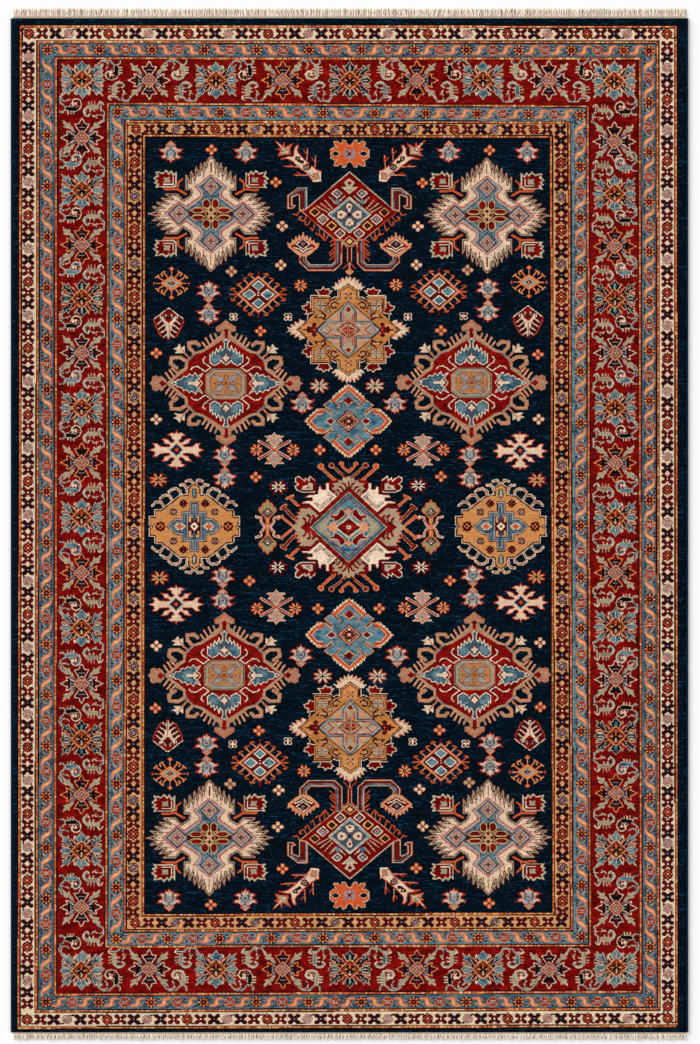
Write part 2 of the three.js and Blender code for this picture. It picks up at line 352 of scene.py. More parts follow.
motif('diamond', 797, 715, 10.453, '''
F q q: 797,55 850,95 905,130 902,170 868,178 845,165 855,215 840,240 797,215
L a .8 q: 812,78 822,100
L a .8 q: 836,92 846,118
L a .8 q: 862,108 870,135
L a .8 q: 888,124 894,152
L q 1.9 q: 885,255 912,200
L s 1.8 q: 930,282 962,215
L s 1.8 q: 975,305 1008,245
L s 1.8 q: 1012,330 1042,290
L q 3.6 q: 1118,408 1180,350 1186,292 1108,288 1078,318
L s .9 q: 1140,385 1178,345 1182,300 1110,292
L q 3.6 q: 1205,490 1275,445 1368,450 1376,512 1312,556
L s .9 q: 1232,478 1285,450 1360,455 1370,505
L s 1.8 q: 1308,612 1340,580 1360,560
L s 1.8 q: 1345,640 1378,592 1390,578
L s 1.8 q: 1385,668 1425,610 
L q 3.0 q: 1210,560 1290,600
F q q: 1568,650 1530,632 1500,650 1475,635 1450,655 1418,690 1440,716 1600,716 1568,690
L a .8 q: 1480,645 1492,668
L a .8 q: 1520,640 1526,665
L a .8 q: 1552,655 1548,680
E r q .4 q: 797,230 1030,372 1120,402 1208,488 1212,562 1398,716
Q q q: 797,196 845,206 1040,362 1118,388 1130,400 1222,486 1228,556 1420,706 1420,716 1390,716 1200,568 1196,494 1112,410 1036,392 797,240
L i .9 q: 850,222 1036,374 1112,398
L i .9 q: 1212,500 1214,560 1395,704
L b .8 q: 1112,402 1206,488
F r .: 780,152 797,140 816,152 835,172 816,172 816,240 780,240 780,172 760,172
F r .: 780,1280 797,1292 816,1280 835,1258 816,1258 816,1190 780,1190 780,1258 760,1258
F r x: 1392,716 1420,716 1462,680 1500,716 1462,752 1420,718
F c q: 1225,398 1230,322 1262,345 1285,302 1312,342 1352,352 1305,372 1335,400 1275,398
L R .9 q: 1240,385 1278,340
L s 1.6 q: 1185,445 1242,388
L R .5 q: 1182,448 1245,386
O q m .5 .: 660,558 932,558 1012,622 1012,815 932,880 660,880 583,815 583,622
O e m .4 .: 672,572 922,572 996,632 996,805 922,866 672,866 598,805 598,632
O b o .5 .: 686,598 908,598 966,644 966,793 908,840 686,840 628,793 628,644
F G .: 694,610 900,610 952,652 952,785 900,828 694,828 642,785 642,652
L x .5 q: 797,715 930,625
O l D .5 q: 818,688 838,648 880,628 912,634 912,660 885,690 842,704
F e q: 850,660 885,642 895,655 862,682
O e m .5 y: 797,686 778,655 797,622 816,655
O e m .5 x: 828,715 872,698 930,715 872,732
F o y: 797,674 790,655 797,640 804,655
F o x: 845,715 872,708 900,715 872,722
D m 1.5 1.5 .: 797,715
D o .8 .8 .: 797,715
O D w .8 y: 797,255 828,275 812,300 815,345 840,375 852,322 875,390 898,350 908,412 935,385 942,448 968,412 968,498 918,530 868,502 850,470 830,500 797,520 764,500 744,470 726,502 676,530 626,498 626,412 652,448 659,385 686,412 696,350 719,390 742,322 754,375 779,345 782,300 766,275
F b y: 640,450 700,400 740,420 740,460 690,505 645,490
F b y: 954,450 894,400 854,420 854,460 904,505 949,490
O c x .8 y: 797,398 812,430 848,445 820,470 797,505 774,470 746,445 782,430
L r 1.0 y: 752,512 797,530 842,512
O D w .7 x: 1042,612 1098,642 1118,602 1150,640 1182,618 1204,650 1240,640 1262,674 1305,680 1338,716 1305,752 1262,758 1240,792 1204,782 1182,812 1150,792 1118,828 1098,790 1042,820 1080,765 1118,742 1118,690 1080,668
F b x: 1120,640 1210,670 1240,700 1240,732 1210,760 1120,790 1140,750 1150,716 1140,680
F c x: 1088,696 1110,672 1118,700 1192,702 1192,730 1118,732 1110,758 1088,736 1065,716
L w .7 x: 1095,650 1042,716 1095,782
F b x: 1340,700 1366,716 1340,732 1322,716
K w .6 x: 1340,694 1374,716 1340,738 1318,716
L w .9 q: 1012,440 1040,468 1028,500 955,552 1015,592 1092,540 1142,545 1162,570
''')
motif('gold', 768, 625, 10.453, '''
F c q: 768,95 788,66 804,112 834,72 838,122 874,98 868,146 908,132 900,176 942,170 905,212 866,208 768,140
L a .6 q: 796,80 806,120
L a .6 q: 842,90 846,132
L a .6 q: 882,112 880,156
F c q: 1222,538 1280,518 1280,560 1335,540 1325,582 1374,570 1358,606 1414,598 1388,628 1308,628
L a .6 q: 1280,528 1290,566
L a .6 q: 1332,550 1330,588
L a .6 q: 1405,606 1372,620
L s .6 q: 788,84 796,116 830,84
L s .6 q: 874,104 862,150 902,140
L s .6 q: 1276,524 1268,572 1330,548 1314,590 1370,576
O v c .8 q: 985,272 938,218 968,222 966,196 1006,206 1030,180 1050,212 1108,214 1080,242 1082,272
O v c .8 q: 1152,352 1196,334 1206,370 1252,382 1240,412 1200,428 1218,464 1160,452 1118,448
L c .8 q: 1190,470 1196,520 1160,490
L c .8 q: 880,220 880,290 905,282 945,300
E g m .7 q: 768,148 868,214 868,292 942,318 985,282 1150,282 1150,434 1122,452 1200,528 1312,626
L c .7 q: 960,282 985,270 1160,270 1160,400
L m .9 q: 768,176 852,228 852,304 936,334 990,300 1132,300 1132,430 1092,456 1184,530 1286,626
F G q: 768,330 880,420 1000,520 1110,600 1200,540 1118,465 1000,330 900,330
O i m .7 q: 1020,322 1090,322 1116,352 1116,400 1080,430 1035,425 1000,395 1000,345
D h 1.3 1.2 q: 1036,350 1084,350 1036,396 1084,396
D R .8 .7 q: 1036,350 1084,350 1036,396 1084,396
L m .8 q: 1060,330 1060,418
L m .8 q: 1010,375 1106,375
D h .6 .6 q: 1060,374
L m 1.9 q: 876,356 912,340 950,362 936,400 898,392
L h .7 q: 890,360 912,352 936,366 928,388
L m 1.3 q: 952,322 988,362 962,404
L m 2.0 q: 1104,496 1058,488 1020,516 1008,474 1050,444
L h .7 q: 1092,490 1056,478 1028,492 1024,472
L m 1.1 q: 1096,470 1124,500
O e m .6 q: 982,404 1010,432 982,460 954,432
D a .7 .7 q: 1052,452
Q m q: 768,316 1128,626
Q i q: 768,328 1112,626
F s q: 860,440 945,520 862,520
E b m .6 q: 768,335 852,438 852,536 1002,536 1108,626
Q A q: 768,356 838,445 838,548 996,548 1088,626
Q i q: 768,368 826,450 826,560 990,560 1074,626
L a .6 q: 816,460 816,568 986,570 1050,626
L x .5 q: 834,440 834,556 992,556
Q q q: 768,470 806,480 812,572 880,572 880,626
O x y .4 y: 768,378 802,415 768,448 734,415
D R 1.1 1.1 y: 768,415
F e y: 740,455 768,480 796,455 796,520 768,500 740,520
L o .8 q: 806,470 806,540
O e R .8 x: 1000,578 1058,626 1000,672 942,626
O l h .5 x: 1000,600 1028,626 1000,650 972,626
F h q: 870,560 910,575 885,592 845,575
L R .6 q: 820,572 920,560
O q m .8 .: 768,545 886,626 768,712 650,626
F R x: 782,590 850,626 782,626
F R x: 782,636 830,640 782,680
L h .5 x: 768,565 850,622
L m .8 .: 768,560 768,700
D d 1.2 1.2 .: 742,250 794,250 742,295 794,295
D d 1.0 1.0 .: 742,952 794,952 742,992 794,992
D R 1.1 1.1 .: 768,272 768,972
F m x: 1096,566 1124,544 1152,566 1150,598 1196,590 1196,612 1258,626 1196,640 1196,662 1150,654 1152,686 1124,708 1096,686 1112,656 1084,626 1112,596
F R x: 1120,576 1140,588 1136,614 1176,626 1136,638 1140,664 1120,676 1126,626
D y .6 .6 x: 1120,626
''')
motif('blue', 768, 222, 10.453, '''
E b s .9 q: 768,-160 942,-12 855,70 868,86 956,4 1026,54 938,130 950,152 1006,98 1090,92 1222,232
F o q: 768,-160 942,-12 905,20 768,-100
F o q: 1020,104 1090,98 1214,230 1150,222 1100,170 1040,150
L w .7 q: 775,-150 800,-120 800,-150 828,-98 832,-126 856,-74 862,-100 886,-50 892,-76 914,-26 924,-46 934,-14
L w .7 q: 1060,100 1090,122 1102,98 1122,140 1136,126 1152,164 1166,152 1180,194 1196,184 1208,228
L a .6 q: 780,-120 800,-100 826,-80 852,-58 880,-34
L c .5 q: 772,-112 822,-62 868,-18 900,14
L x .5 q: 772,-92 816,-46 862,2
F b q: 768,-84 812,-38 850,0 830,20 768,-40
L x .5 q: 1036,132 1092,128 1146,176 1182,226
L c .5 q: 1048,150 1096,150 1140,198 1164,228
D x .6 .6 q: 884,60 950,110 1050,180
L b .9 q: 790,-60 850,-10 830,30 800,10
L y .6 q: 768,58 830,0 860,20
F B q: 880,60 950,20 1000,56 920,120
L y .7 q: 940,160 1000,112
F B q: 1010,180 1090,150 1120,222 1060,260 1020,240
Q x q: 768,104 902,222
Q s q: 768,120 884,222
Q m q: 768,134 866,222
L q .6 q: 768,150 848,222
D m 1.4 1.2 q: 800,196
D s .5 .5 q: 798,190 822,208 784,212
D w .9 1.3 y: 768,166
D w .9 1.3 .: 768,222
D v .7 .7 q: 800,222 780,200
F v y: 768,-38 822,12 795,25 768,52 741,25 714,12
L y .5 y: 720,20 768,58 816,20
F v x: 908,222 950,190 1000,222 950,256
L w .6 x: 905,222 950,184 1008,222 950,262 905,222
''')
motif('centre', 770, 1330, 10.453, '''
L s 2.7 q: 770,752 828,700
D s 2.6 2.4 q: 846,668
L o 1.7 q: 770,750 826,702
D o 1.8 1.7 q: 846,668
L a .7 q: 790,728 842,668
L n 1.0 q: 858,682 872,700
L s 2.5 q: 792,822 925,702
D s 3.0 2.9 q: 948,684
L v 1.5 q: 790,822 925,702
D v 2.3 2.2 q: 948,684
D x 1.0 1.0 q: 948,684
L s 2.9 q: 905,846 1042,724
D s 3.3 3.1 q: 1058,694
L o 1.9 q: 905,846 1042,724
L a .6 q: 915,836 1045,722
D o 2.4 2.3 q: 1058,694
D a 1.1 1.1 q: 1058,694
L s 2.8 q: 1288,1114 1378,1030
L s 2.6 q: 1350,1000 1412,1030
L o 1.8 q: 1288,1114 1378,1030
L o 1.6 q: 1350,1002 1408,1030
L s 3.3 q: 1340,1238 1442,1128
L s 2.8 q: 1428,1098 1476,1136
L v 2.3 q: 1340,1238 1442,1128
L v 1.8 q: 1428,1100 1472,1136
L x .6 q: 1345,1240 1450,1135
L s 2.7 q: 1366,1304 1466,1222
L s 2.3 q: 1462,1210 1504,1242
L o 1.6 q: 1366,1304 1466,1222
L o 1.3 q: 1464,1212 1500,1240
F v q: 855,835 880,812 905,846 965,835 972,880 940,930 900,920
F i q: 770,792 798,838 826,814 842,850 876,836 872,864 940,872 912,900 944,930 912,948 918,990 882,1002 770,900
L h .5 q: 770,796 798,838 826,818
L v 2.0 q: 792,912 812,880 832,872
L v 2.0 q: 826,944 846,912 868,906
L v 1.8 q: 858,974 878,944 896,940
L x 1.4 y: 770,862 770,905
F i q: 1072,1185 1160,1130 1284,1138 1262,1166 1308,1176 1280,1202 1322,1215 1292,1242 1334,1262 1312,1290 1366,1318 1366,1332 1180,1332
L a .8 q: 1286,1139 1264,1167 1310,1177 1284,1203 1324,1216 1294,1243 1336,1263 1312,1292
L v 2.4 q: 1150,1268 1126,1232 1142,1210
L v 2.4 q: 1192,1292 1168,1228 1196,1206
L v 2.4 q: 1232,1320 1214,1262 1238,1240
F v x: 1185,1262 1276,1331 1185,1400
D e 1.1 .9 q: 1160,1240 1200,1262 1240,1290
D e 1.2 1.0 q: 1270,1300 1180,1180
O W v 1.1 q: 885,1010 970,936 975,868 1008,868 1012,938 1050,938 1062,892 1086,912 1090,985 1186,990 1226,1020 1150,1022 1150,1052 1240,1058 1278,1088 1182,1086 1067,1180
L x .6 q: 982,962 922,1013 1064,1144 1136,1072
L l .8 q: 988,976 938,1013 1064,1127 1124,1070
L x .6 q: 992,990 955,1013 1064,1108 1110,1066
L v 2.1 q: 1085,1190 1164,1112 1290,1118
L x .6 q: 1095,1196 1168,1126 1280,1130
L v 1.1 q: 885,990 905,960 960,940
Q r q: 770,914 1222,1331
Q e q: 770,958 1174,1331
Q D q: 770,968 1160,1331
Q d q: 770,982 1144,1331
Q b q: 770,990 1134,1331
L R .5 q: 770,1016 842,1082 1104,1331
L m .5 q: 770,1026 838,1090 1094,1331
F B q: 770,1050 822,1096 850,1135 820,1150 770,1090
F b q: 860,1110 940,1190 960,1240 1000,1250 1080,1331 1010,1331 900,1220
F e q: 950,1228 1004,1240 1092,1331 1004,1331
F l q: 880,1140 930,1182 936,1205 880,1190
L h .5 q: 960,1215 1010,1235 1100,1325
F s y: 770,1128 810,1165 770,1202 730,1165
L x .6 y: 728,1162 770,1122 812,1162
L h 1.1 q: 770,1205 826,1262 880,1296
F s x: 905,1278 965,1290 984,1331 965,1372 905,1386 874,1331
L k .5 x: 975,1294 998,1331 975,1366
D y .9 .9 x: 994,1331
O v h .9 q: 808,1160 856,1130 876,1182 896,1206 958,1202 976,1222 922,1244 926,1276 878,1264 806,1202
F h .: 770,1222 908,1331 770,1442 632,1331
F k .: 770,1238 890,1331 770,1426 650,1331
F r .: 770,1252 874,1331 770,1408 666,1331
F R .: 770,1275 838,1331 770,1388 702,1331
D k 3.0 2.5 .: 770,1331
D h 2.6 2.2 .: 770,1331
D e 1.4 1.2 .: 770,1331
F v q: 1108,812 1112,960 1200,968 1290,955 1320,900 1325,830 1300,800 1262,835 1230,800 1215,850 1180,800 1175,792 1160,830
O v w .8 q: 1118,845 1175,795 1185,845 1218,815 1228,850 1290,800 1328,815 1322,860 1290,880 1330,905 1310,940 1255,965 1150,965 1118,958
F h q: 1146,880 1178,862 1200,890 1244,898 1262,938 1146,942
F r q: 1205,850 1226,872 1215,895 1195,880
F l q: 1170,895 1205,905 1215,930 1170,932
D v .8 .8 q: 1195,915
L x .6 q: 1140,862 1140,948 1250,952
L v 1.0 q: 1115,965 1115,850
''')
# ------------------------------------------------------------------ border and guard motifs
motif('A', 850, 316, 13.07, '''
L h .6 q: 900,250 985,165
L h .6 q: 940,262 1040,170
L k 1.0 q: 925,262 1010,180
L o .7 q: 885,232 955,285
L k 1.0 q: 948,256 1004,206
L h .6 q: 955,265 1028,190
O b h .5 q: 978.1,232.6 997.9,204 1011.1,149 1028.7,116 1050.7,151.2 1116.7,105 1083.7,162.2 1112.3,188.6 1063.9,204 1028.7,241.4 995.7,252.4
F S q: 1016,170 1044,158 1062,164 1044,196 1016,200
L h .5 q: 1010,214 1058,162
D a .5 .5 q: 1036,216
O r c .6 q: 893,222 912,172 950,132 945,175 925,232
L k 1.0 q: 908,215 928,172
O r h .6 q: 1000,286 1058,232 1112,228 1108,260 1050,278
L k 1.0 q: 1025,276 1084,244
L a .8 q: 905,215 940,242
L k 1.0 q: 880,214 906,186
L h .6 q: 890,200 914,168 942,120
O b h .45 y: 850,67.8 877,104.5 901.8,130.4 938.6,121.8 910.5,158.5 899.7,193.1 873.8,210.4 850,214.7 826.2,210.4 800.3,193.1 789.5,158.5 761.4,121.8 798.2,130.4 823,104.5
F S y: 850,112 874,150 864,194 836,194 826,150
L h .5 y: 850,120 850,186
D a .6 .6 y: 838,204 862,204
L k 1.0 q: 985,292 1012,280
L k 1.0 q: 978,248 1046,184
L o .5 q: 1010,256 1070,206
L h .6 q: 1000,292 1052,268 1102,230
O b h .45 x: 1135.5,318.1 1094.5,285.7 1084.8,261.9 1075,287.8 1029.7,282.4 984.3,303 984.3,331 1029.7,350.5 1075,346.2 1084.8,372.1 1094.5,348.3
F S x: 1098,318 1054,300 1004,308 1004,328 1054,336
L h .5 x: 1012,318 1088,318
O k P .9 .: 850,190 983,316 850,440 717,316
L m .5 .: 850,212 958,316 850,420 742,316 850,212
L o .5 .: 850,226 942,316 850,406 758,316 850,226
F o .: 840,240 860,240 864,298 850,310 836,298
F h .: 842,340 858,340 862,385 850,400 838,385
F P x: 870,316 900,304 930,316 900,328
''')
motif('B', 850, 1092, 13.07, '''
O e h .45 q: 952,1000 974,952 1000,942 1012,885 1032,912 1096,866 1088,905 1060,928 1088,946 1040,964 1010,966 975,1008
L p .6 q: 960,1000 1020,930
O D l .5 q: 912,1052 960,1002 986,1012 945,1058
E m c .8 q: 850,838 872,866 884,905 944,913 920,958 896,988 888,1012 930,1060 975,1052 1012,1012 1050,1005 1036,1052 1078,1066 1124,1096
Q v q: 850,890 870,925 905,928 880,965 872,1010 915,1068 960,1070 1010,1038 1024,1074 1050,1096
F k y: 850,906 888,926 930,934 900,966 866,994 834,994 800,966 770,934 812,926
L l .5 y: 812,954 888,954
F r y: 850,878 864,915 850,948 836,915
F k x: 1020,1044 1022,1074 1046,1096 1022,1118 1020,1148 960,1124 946,1096 960,1068
L l .5 x: 990,1066 990,1126
D k .9 .8 q: 905,1008 940,1040
F r x: 1036,1084 1062,1096 1036,1108 1016,1096
D B .8 .7 x: 975,1096
O s D .5 .: 850,985 962,1092 850,1200 738,1092
O l x .5 .: 850,1012 934,1092 850,1172 766,1092
L s .8 .: 850,1034 912,1092 850,1150 788,1092 850,1034
F q .: 850,1050 896,1092 850,1134 804,1092
L s .8 q: 872,1014 942,1080
L x .5 .: 850,1020 926,1092 850,1164 774,1092 850,1020
L D .5 .: 850,1062 884,1092 850,1122 816,1092 850,1062
L k .6 q: 874,1002 956,1074
D a 1.5 1.3 .: 850,1092
D y .7 .6 .: 850,1092
D d .6 .6 q: 876,1074
D R .6 .6 y: 850,1054
D R .6 .6 x: 900,1092
D d .6 .6 y: 850,1034
D d .6 .6 x: 922,1092
L k .5 q: 864,902 900,916
L k .5 q: 1000,1052 1022,1080
''')
VINE = '''
L h 1.5 .: 655,465 590,512 560,560 566,625 606,655 645,700
L b .8 .: 655,465 590,512 560,560 566,625 606,655 645,700
L h 1.2 .: 575,545 600,605 655,598 690,580
L b .6 .: 575,545 600,605 655,598 690,580
L h 1.6 .: 650,702 605,745 565,742
L b .8 .: 650,702 605,745 565,742
L c 2.6 .: 760,712 812,700 832,650 815,598 770,580 732,605 735,648
L h 4.9 .: 660,700 765,708
L h 1.2 .: 670,730 668,765
L h 1.2 .: 705,735 708,768
L h 1.2 .: 742,735 745,768
L h 1.2 .: 690,672 712,640
L K 1.6 .: 760,712 808,696 828,650 812,605 772,590 742,608
L K 3.9 .: 662,700 765,708
L K .9 .: 694,672 712,648
L c 1.2 .: 762,640 780,625 775,660
L c .9 .: 1130,648 1112,620 1080,608 1062,640 1052,680
L i 4.2 .: 930,682 1045,682
L i 1.1 .: 945,655 935,622
L i 1.1 .: 980,650 972,612
L i 1.1 .: 1015,650 1015,612
L h 1.2 .: 960,700 955,735
L h 1.2 .: 1000,705 1010,735
L h 1.9 .: 935,682 890,700 872,735 890,775 925,796 948,770
L b 1.1 .: 915,695 895,735 905,772 928,785
L M 3.0 .: 935,682 1040,682
L h 1.6 .: 1088,625 1088,712 1132,745 1138,845 1085,872 1035,915
L b .8 .: 1088,625 1088,712 1132,745 1138,845 1085,872 1035,915
L h .8 .: 1140,790 1090,775
L h 1.0 .: 990,780 1020,800 1045,780
D h .6 .6 .: 1000,795 1040,812 1062,785
'''
motif('V1', 850, 700, 13.07, VINE.replace('K', 'k').replace('M', 'e'))
motif('V2', 850, 700, 13.07, VINE.replace('K', 'e').replace('M', 'b'))
motif('V3', 850, 700, 13.07, VINE.replace('K', 'b').replace('M', 'p'))
motif('xk', 0, 0, 1, '''
L x 4.2 q: 0,0 3.5,-3.1
D x 2.6 2.3 q: 3.85,-3.3
L m 3.4 q: 0,0 3.5,-3.1
D m 2.1 1.8 q: 3.75,-3.2
L k 2.8 q: 0,0 3.5,-3.1
D k 1.6 1.4 q: 3.7,-3.2
L r .7 q: 4.3,-1.9 2.2,-1.0
D j .75 .75 .: 0,0
''')
motif('xr', 0, 0, 1, '''
L x 3.8 q: 0,0 3.4,-3.0
D x 2.45 2.2 q: 3.7,-3.2
L m 2.6 q: 0,0 3.4,-3.0
D m 1.6 1.5 q: 3.7,-3.2
L r 1.1 q: .9,-.8 3.5,-3.2
L k .8 q: 1.6,-.6 3.6,-2.3
D w .8 .8 .: 0,0
''')
motif('gr', 0, 0, 1, '''
D m 5.6 5.3 .: 0,0
D a 4.7 4.4 .: 0,0
D k .95 .9 q: 2.2,-3.2 3.6,-1.4
D o .8 .7 y: 0,-3.6
D o .7 .8 x: 3.9,0
D x 2.9 2.7 .: 0,0
D a .8 .7 q: 1.5,-1.3
D k 1.6 1.5 .: 0,0
D w .8 .8 .: 0,0
L m 1.3 y: 0,-4.6 0,-5.8
''')
motif('gl', 0, 0, 1, '''
D x 5.1 4.8 .: 0,0
D l 4.7 4.4 .: 0,0
D s 3.8 3.5 .: 0,0
D x 3.2 3.0 .: 0,0
D l 2.8 2.6 .: 0,0
D s 1.7 1.6 .: 0,0
D a .8 .8 .: 0,0
L h .7 .: -3.8,-1.2 -.7,-3.6
L h .7 .: 3.8,1.2 .7,3.6
D D .7 .6 .: -1.6,1.6 1.8,-1.5
''')
motif('ro', 0, 0, 1, '''
D k 5.7 5.4 .: 0,0
D o 1.0 1.5 y: 0,-3.7
D o 1.5 1.0 x: 3.9,0
D o 1.15 1.1 q: 2.8,-2.6
D y .6 .9 y: 0,-4.1
D y .9 .6 x: 4.3,0
D P .7 .7 q: 3.1,-2.9
D k 2.0 1.9 .: 0,0
D x 1.1 1.0 .: 0,0
D l .6 .6 .: 0,0
D R .6 .6 q: 1.5,-1.4
''')
motif('rr', 0, 0, 1, '''
D P 5.5 5.2 .: 0,0
D k 4.9 4.6 .: 0,0
D a 1.2 1.4 y: 0,-3.1
D a 1.4 1.2 x: 3.3,0
D r 1.25 1.2 q: 2.7,-2.6
L l .6 q: .9,-.8 3.6,-3.2
L s .5 q: 1.4,-.8 3.2,-1.5
D l 1.5 1.4 .: 0,0
D k .6 .6 .: 0,0
D h .5 .5 q: 1.0,-1.0
''')
motif('sh', 0, 0, 1, '''
F O .: -7.8,-3.6 -5.4,-5.0 -2.2,-5.2 .4,-4.6 2.2,-2.6 2.8,.2 4.0,1.6 7.8,2.4 7.2,4.6 2.6,5.0 -.8,4.0 -2.2,1.4 -1.8,-1.2 -3.4,-2.6 -6.6,-2.4
F s .: -6.6,-3.9 -4.6,-4.6 -1.8,-4.5 .2,-3.6 1.4,-1.6 1.9,1.0 3.4,2.5 6.8,3.0 6.4,4.0 2.6,4.2 .0,3.2 -1.3,1.0 -.9,-1.4 -2.6,-3.2
F f .: -.8,-3.4 .6,-1.8 1.0,1.4 2.2,3.2 .6,3.0 -.6,.8 -.2,-1.6
L P .8 .: -5.4,-.6 -3.4,.6 -3.2,2.6 -4.6,3.8
L P .8 .: 3.6,-.6 5.2,-2.2 4.2,-4.0 2.6,-4.4
L d .9 .: -6.6,2.6 -6.0,4.2
D D 1.9 1.4 .: -5.6,3.0 5.8,-3.4
D m 1.2 .8 .: -5.6,3.2 5.8,-3.6
D D 1.3 1.0 .: -4.4,.2 4.0,-.4 7.2,.2
D x .8 .6 .: -1.6,-6.4 1.8,6.4
D B .9 .7 .: -5.2,1.6 5.4,-4.6 
D k .8 .6 .: -3.0,4.8 3.2,-5.0 -7.4,.6 7.6,-.8
''')
motif('sv', 0, 0, 1, '''
F O .: -5.2,-8.4 -3.2,-8.2 -3.0,-5.0 -1.6,-3.2 1.6,-1.8 4.2,.2 5.4,2.8 5.2,8.4 3.4,8.4 2.8,5.6 1.2,3.2 -1.8,1.8 -4.2,-.6 -5.4,-3.8
F s .: -4.7,-7.6 -3.8,-7.4 -3.8,-4.8 -2.0,-2.6 1.2,-1.1 3.6,.8 4.7,3.0 4.7,7.6 4.0,7.6 3.4,4.6 1.4,2.4 -1.6,1.0 -3.6,-1.2 -4.7,-3.8
F f .: -4.0,-3.9 -2.4,-1.8 1.0,-.4 3.2,1.6 3.8,3.2 1.6,1.8 -1.4,.4 -3.2,-1.6
L P .8 .: .2,-4.4 2.2,-5.2 2.6,-6.8
L P .8 .: -.6,3.8 -2.6,4.6 -3.0,6.2
D D 1.5 1.9 .: 4.4,-4.4 -4.4,4.4
D m .9 1.2 .: 4.5,-4.6 -4.5,4.6
D D 1.1 1.3 .: 4.8,-1.6 -4.8,1.8 .6,6.6 -.6,-6.8
D x .7 .8 .: 5.2,-7.6 -5.2,7.6
D B .9 .7 .: 3.0,-2.0 -3.0,2.6 2.4,-7.4
D k .8 .7 .: 1.0,-7.6 -1.0,7.6 5.4,-.6 -5.4,.8
''')
# ------------------------------------------------------------------ small field motifs
motif('hook', 447, 465, 15.68, '''
L r 1.5 y: 447,185 447,108
L o 1.2 x: 765,465 885,465
L s 1.1 q: 505,232 566,170
L o 1.2 q: 535,148 588,142 602,172
L s 1.1 q: 592,318 655,250
L o 1.2 q: 628,208 682,222 672,254
L s 1.1 q: 682,392 742,325
L o 1.2 q: 716,285 775,308 758,336
L o 1.1 q: 762,462 845,392
L o 1.2 q: 812,368 862,372 872,396
E q o .5 q: 447,168 782,465
Q s q: 447,176 774,465
Q m q: 447,205 738,465
Q r q: 447,212 730,465
Q m q: 447,226 712,465
O b w .9 y: 447,254 540,325 447,402 354,325
F B y: 447,290 490,325 447,365 404,325
O b w .9 x: 588,386 690,465 588,544 490,465
F B x: 588,425 640,465 588,505 540,465
L r 1.4 .: 350,378 545,552
L r 1.4 .: 545,378 350,552
D w .7 .7 .: 447,432 447,478
''')
motif('oros', 418, 285, 15.68, '''
L P 1.2 y: 418,195 418,75
F o y: 418,25 466,62 418,98 372,62
F s y: 418,42 444,62 418,82 394,62
L o 1.4 q: 465,215 532,128
L P .7 q: 465,215 532,128
L P 1.1 q: 522,100 582,138 560,172
L o 1.4 q: 525,262 628,190
L P .7 q: 525,262 628,190
L P 1.1 q: 622,160 668,205
L P 1.1 x: 575,290 648,290
F r x: 692,250 718,290 692,332 662,290
D s .7 .7 x: 692,290
O P a .6 .: 418,168 602,288 418,410 246,288
F g .: 418,190 570,288 418,388 272,288
F l .: 418,208 548,288 418,370 292,288
F e .: 418,222 528,288 418,356 312,288
L h .6 .: 418,238 506,288 418,340 332,288 418,238
F k .: 418,244 482,288 418,332 356,288
L s .8 .: 400,268 420,318
L a .8 .: 424,256 444,308
''')
motif('bud', 1000, 600, 15.68, '''
J A a 1.0 .: 1000,604 1072,662 1056,694 1108,732 1192,724 1154,766 1104,784 1108,824 1172,852 1108,878 1064,864 1052,920 1020,890 1000,950
F q .: 1000,612 1054,662 1000,708 946,662
F A .: 1000,636 1030,664 1000,690 970,664
L s .8 .: 940,664 1000,612 1060,664
L x .6 .: 944,668 1000,708 1056,668
H S .: 1000,728 1050,750 1076,790 1062,846 1040,870 1018,856 1000,900
H A .: 1000,744 1036,765 1048,812 1036,846 1016,830 1000,872
L c 1.2 x: 1068,708 1108,748 1150,748
L c 1.1 x: 1078,792 1090,850 1130,858
L c 1.1 x: 1020,850 1036,905
L c 1.1 .: 1000,850 1000,925
L x .6 x: 1048,756 1080,800 1062,860
L D .6 x: 1018,776 1020,820
D r .8 .8 .: 1000,728
D m .7 1.0 .: 1000,792
L r 1.0 x: 1144,734 1190,724
L r 1.0 x: 1138,858 1168,853
L r 1.0 x: 1042,905 1052,924
L R .9 .: 1000,930 1000,950
''')
motif('fan', 376, 930, 15.68, '''
H m .: 376,672 612,850 606,938 560,1000 556,1030 520,1092 476,1140 420,1176 376,1206
L c .9 x: 376,676 610,852
L a .9 x: 605,850 600,925 556,1010 520,1090 470,1140
H r .: 376,718 470,790 440,862 376,918
F b x: 398,770 432,782 446,838 418,832
F w x: 408,768 428,780 420,800
F k x: 352,812 376,842 352,862 330,842
H c .: 376,918 440,862 472,800 494,808 490,866 446,912 424,950 424,1005 396,1012 396,1068 402,1120 376,1180
L r .9 x: 376,704 580,856
L m .7 .: 318,706 434,706
L c 1.1 x: 480,872 562,940
L c 1.1 x: 430,930 538,1008
L c 1.1 x: 396,1000 504,1066
L c 1.0 x: 396,1080 456,1132
L v .8 x: 376,940 376,1160
L w .6 x: 505,800 510,850
L r .8 x: 505,870 590,930
D r .7 .7 x: 508,1066 545,1010 566,944
''')
motif('snowA', 281, 1410, 10.453, '''
E c a .8 q: 281,1206 292,1240 330,1232 372,1252 330,1268 330,1290 300,1312 322,1336 348,1330 372,1300 438,1292 412,1318 405,1342 356,1352 346,1372 378,1378 452,1374 486,1342 530,1340 508,1366 512,1392 566,1410
O k b 1.0 .: 281,1345 346,1408 281,1472 214,1408
L m .5 .: 281,1366 320,1408 281,1450 240,1408 281,1366
F a .: 281,1380 306,1408 281,1436 256,1408
D p .7 .7 .: 281,1408
''')
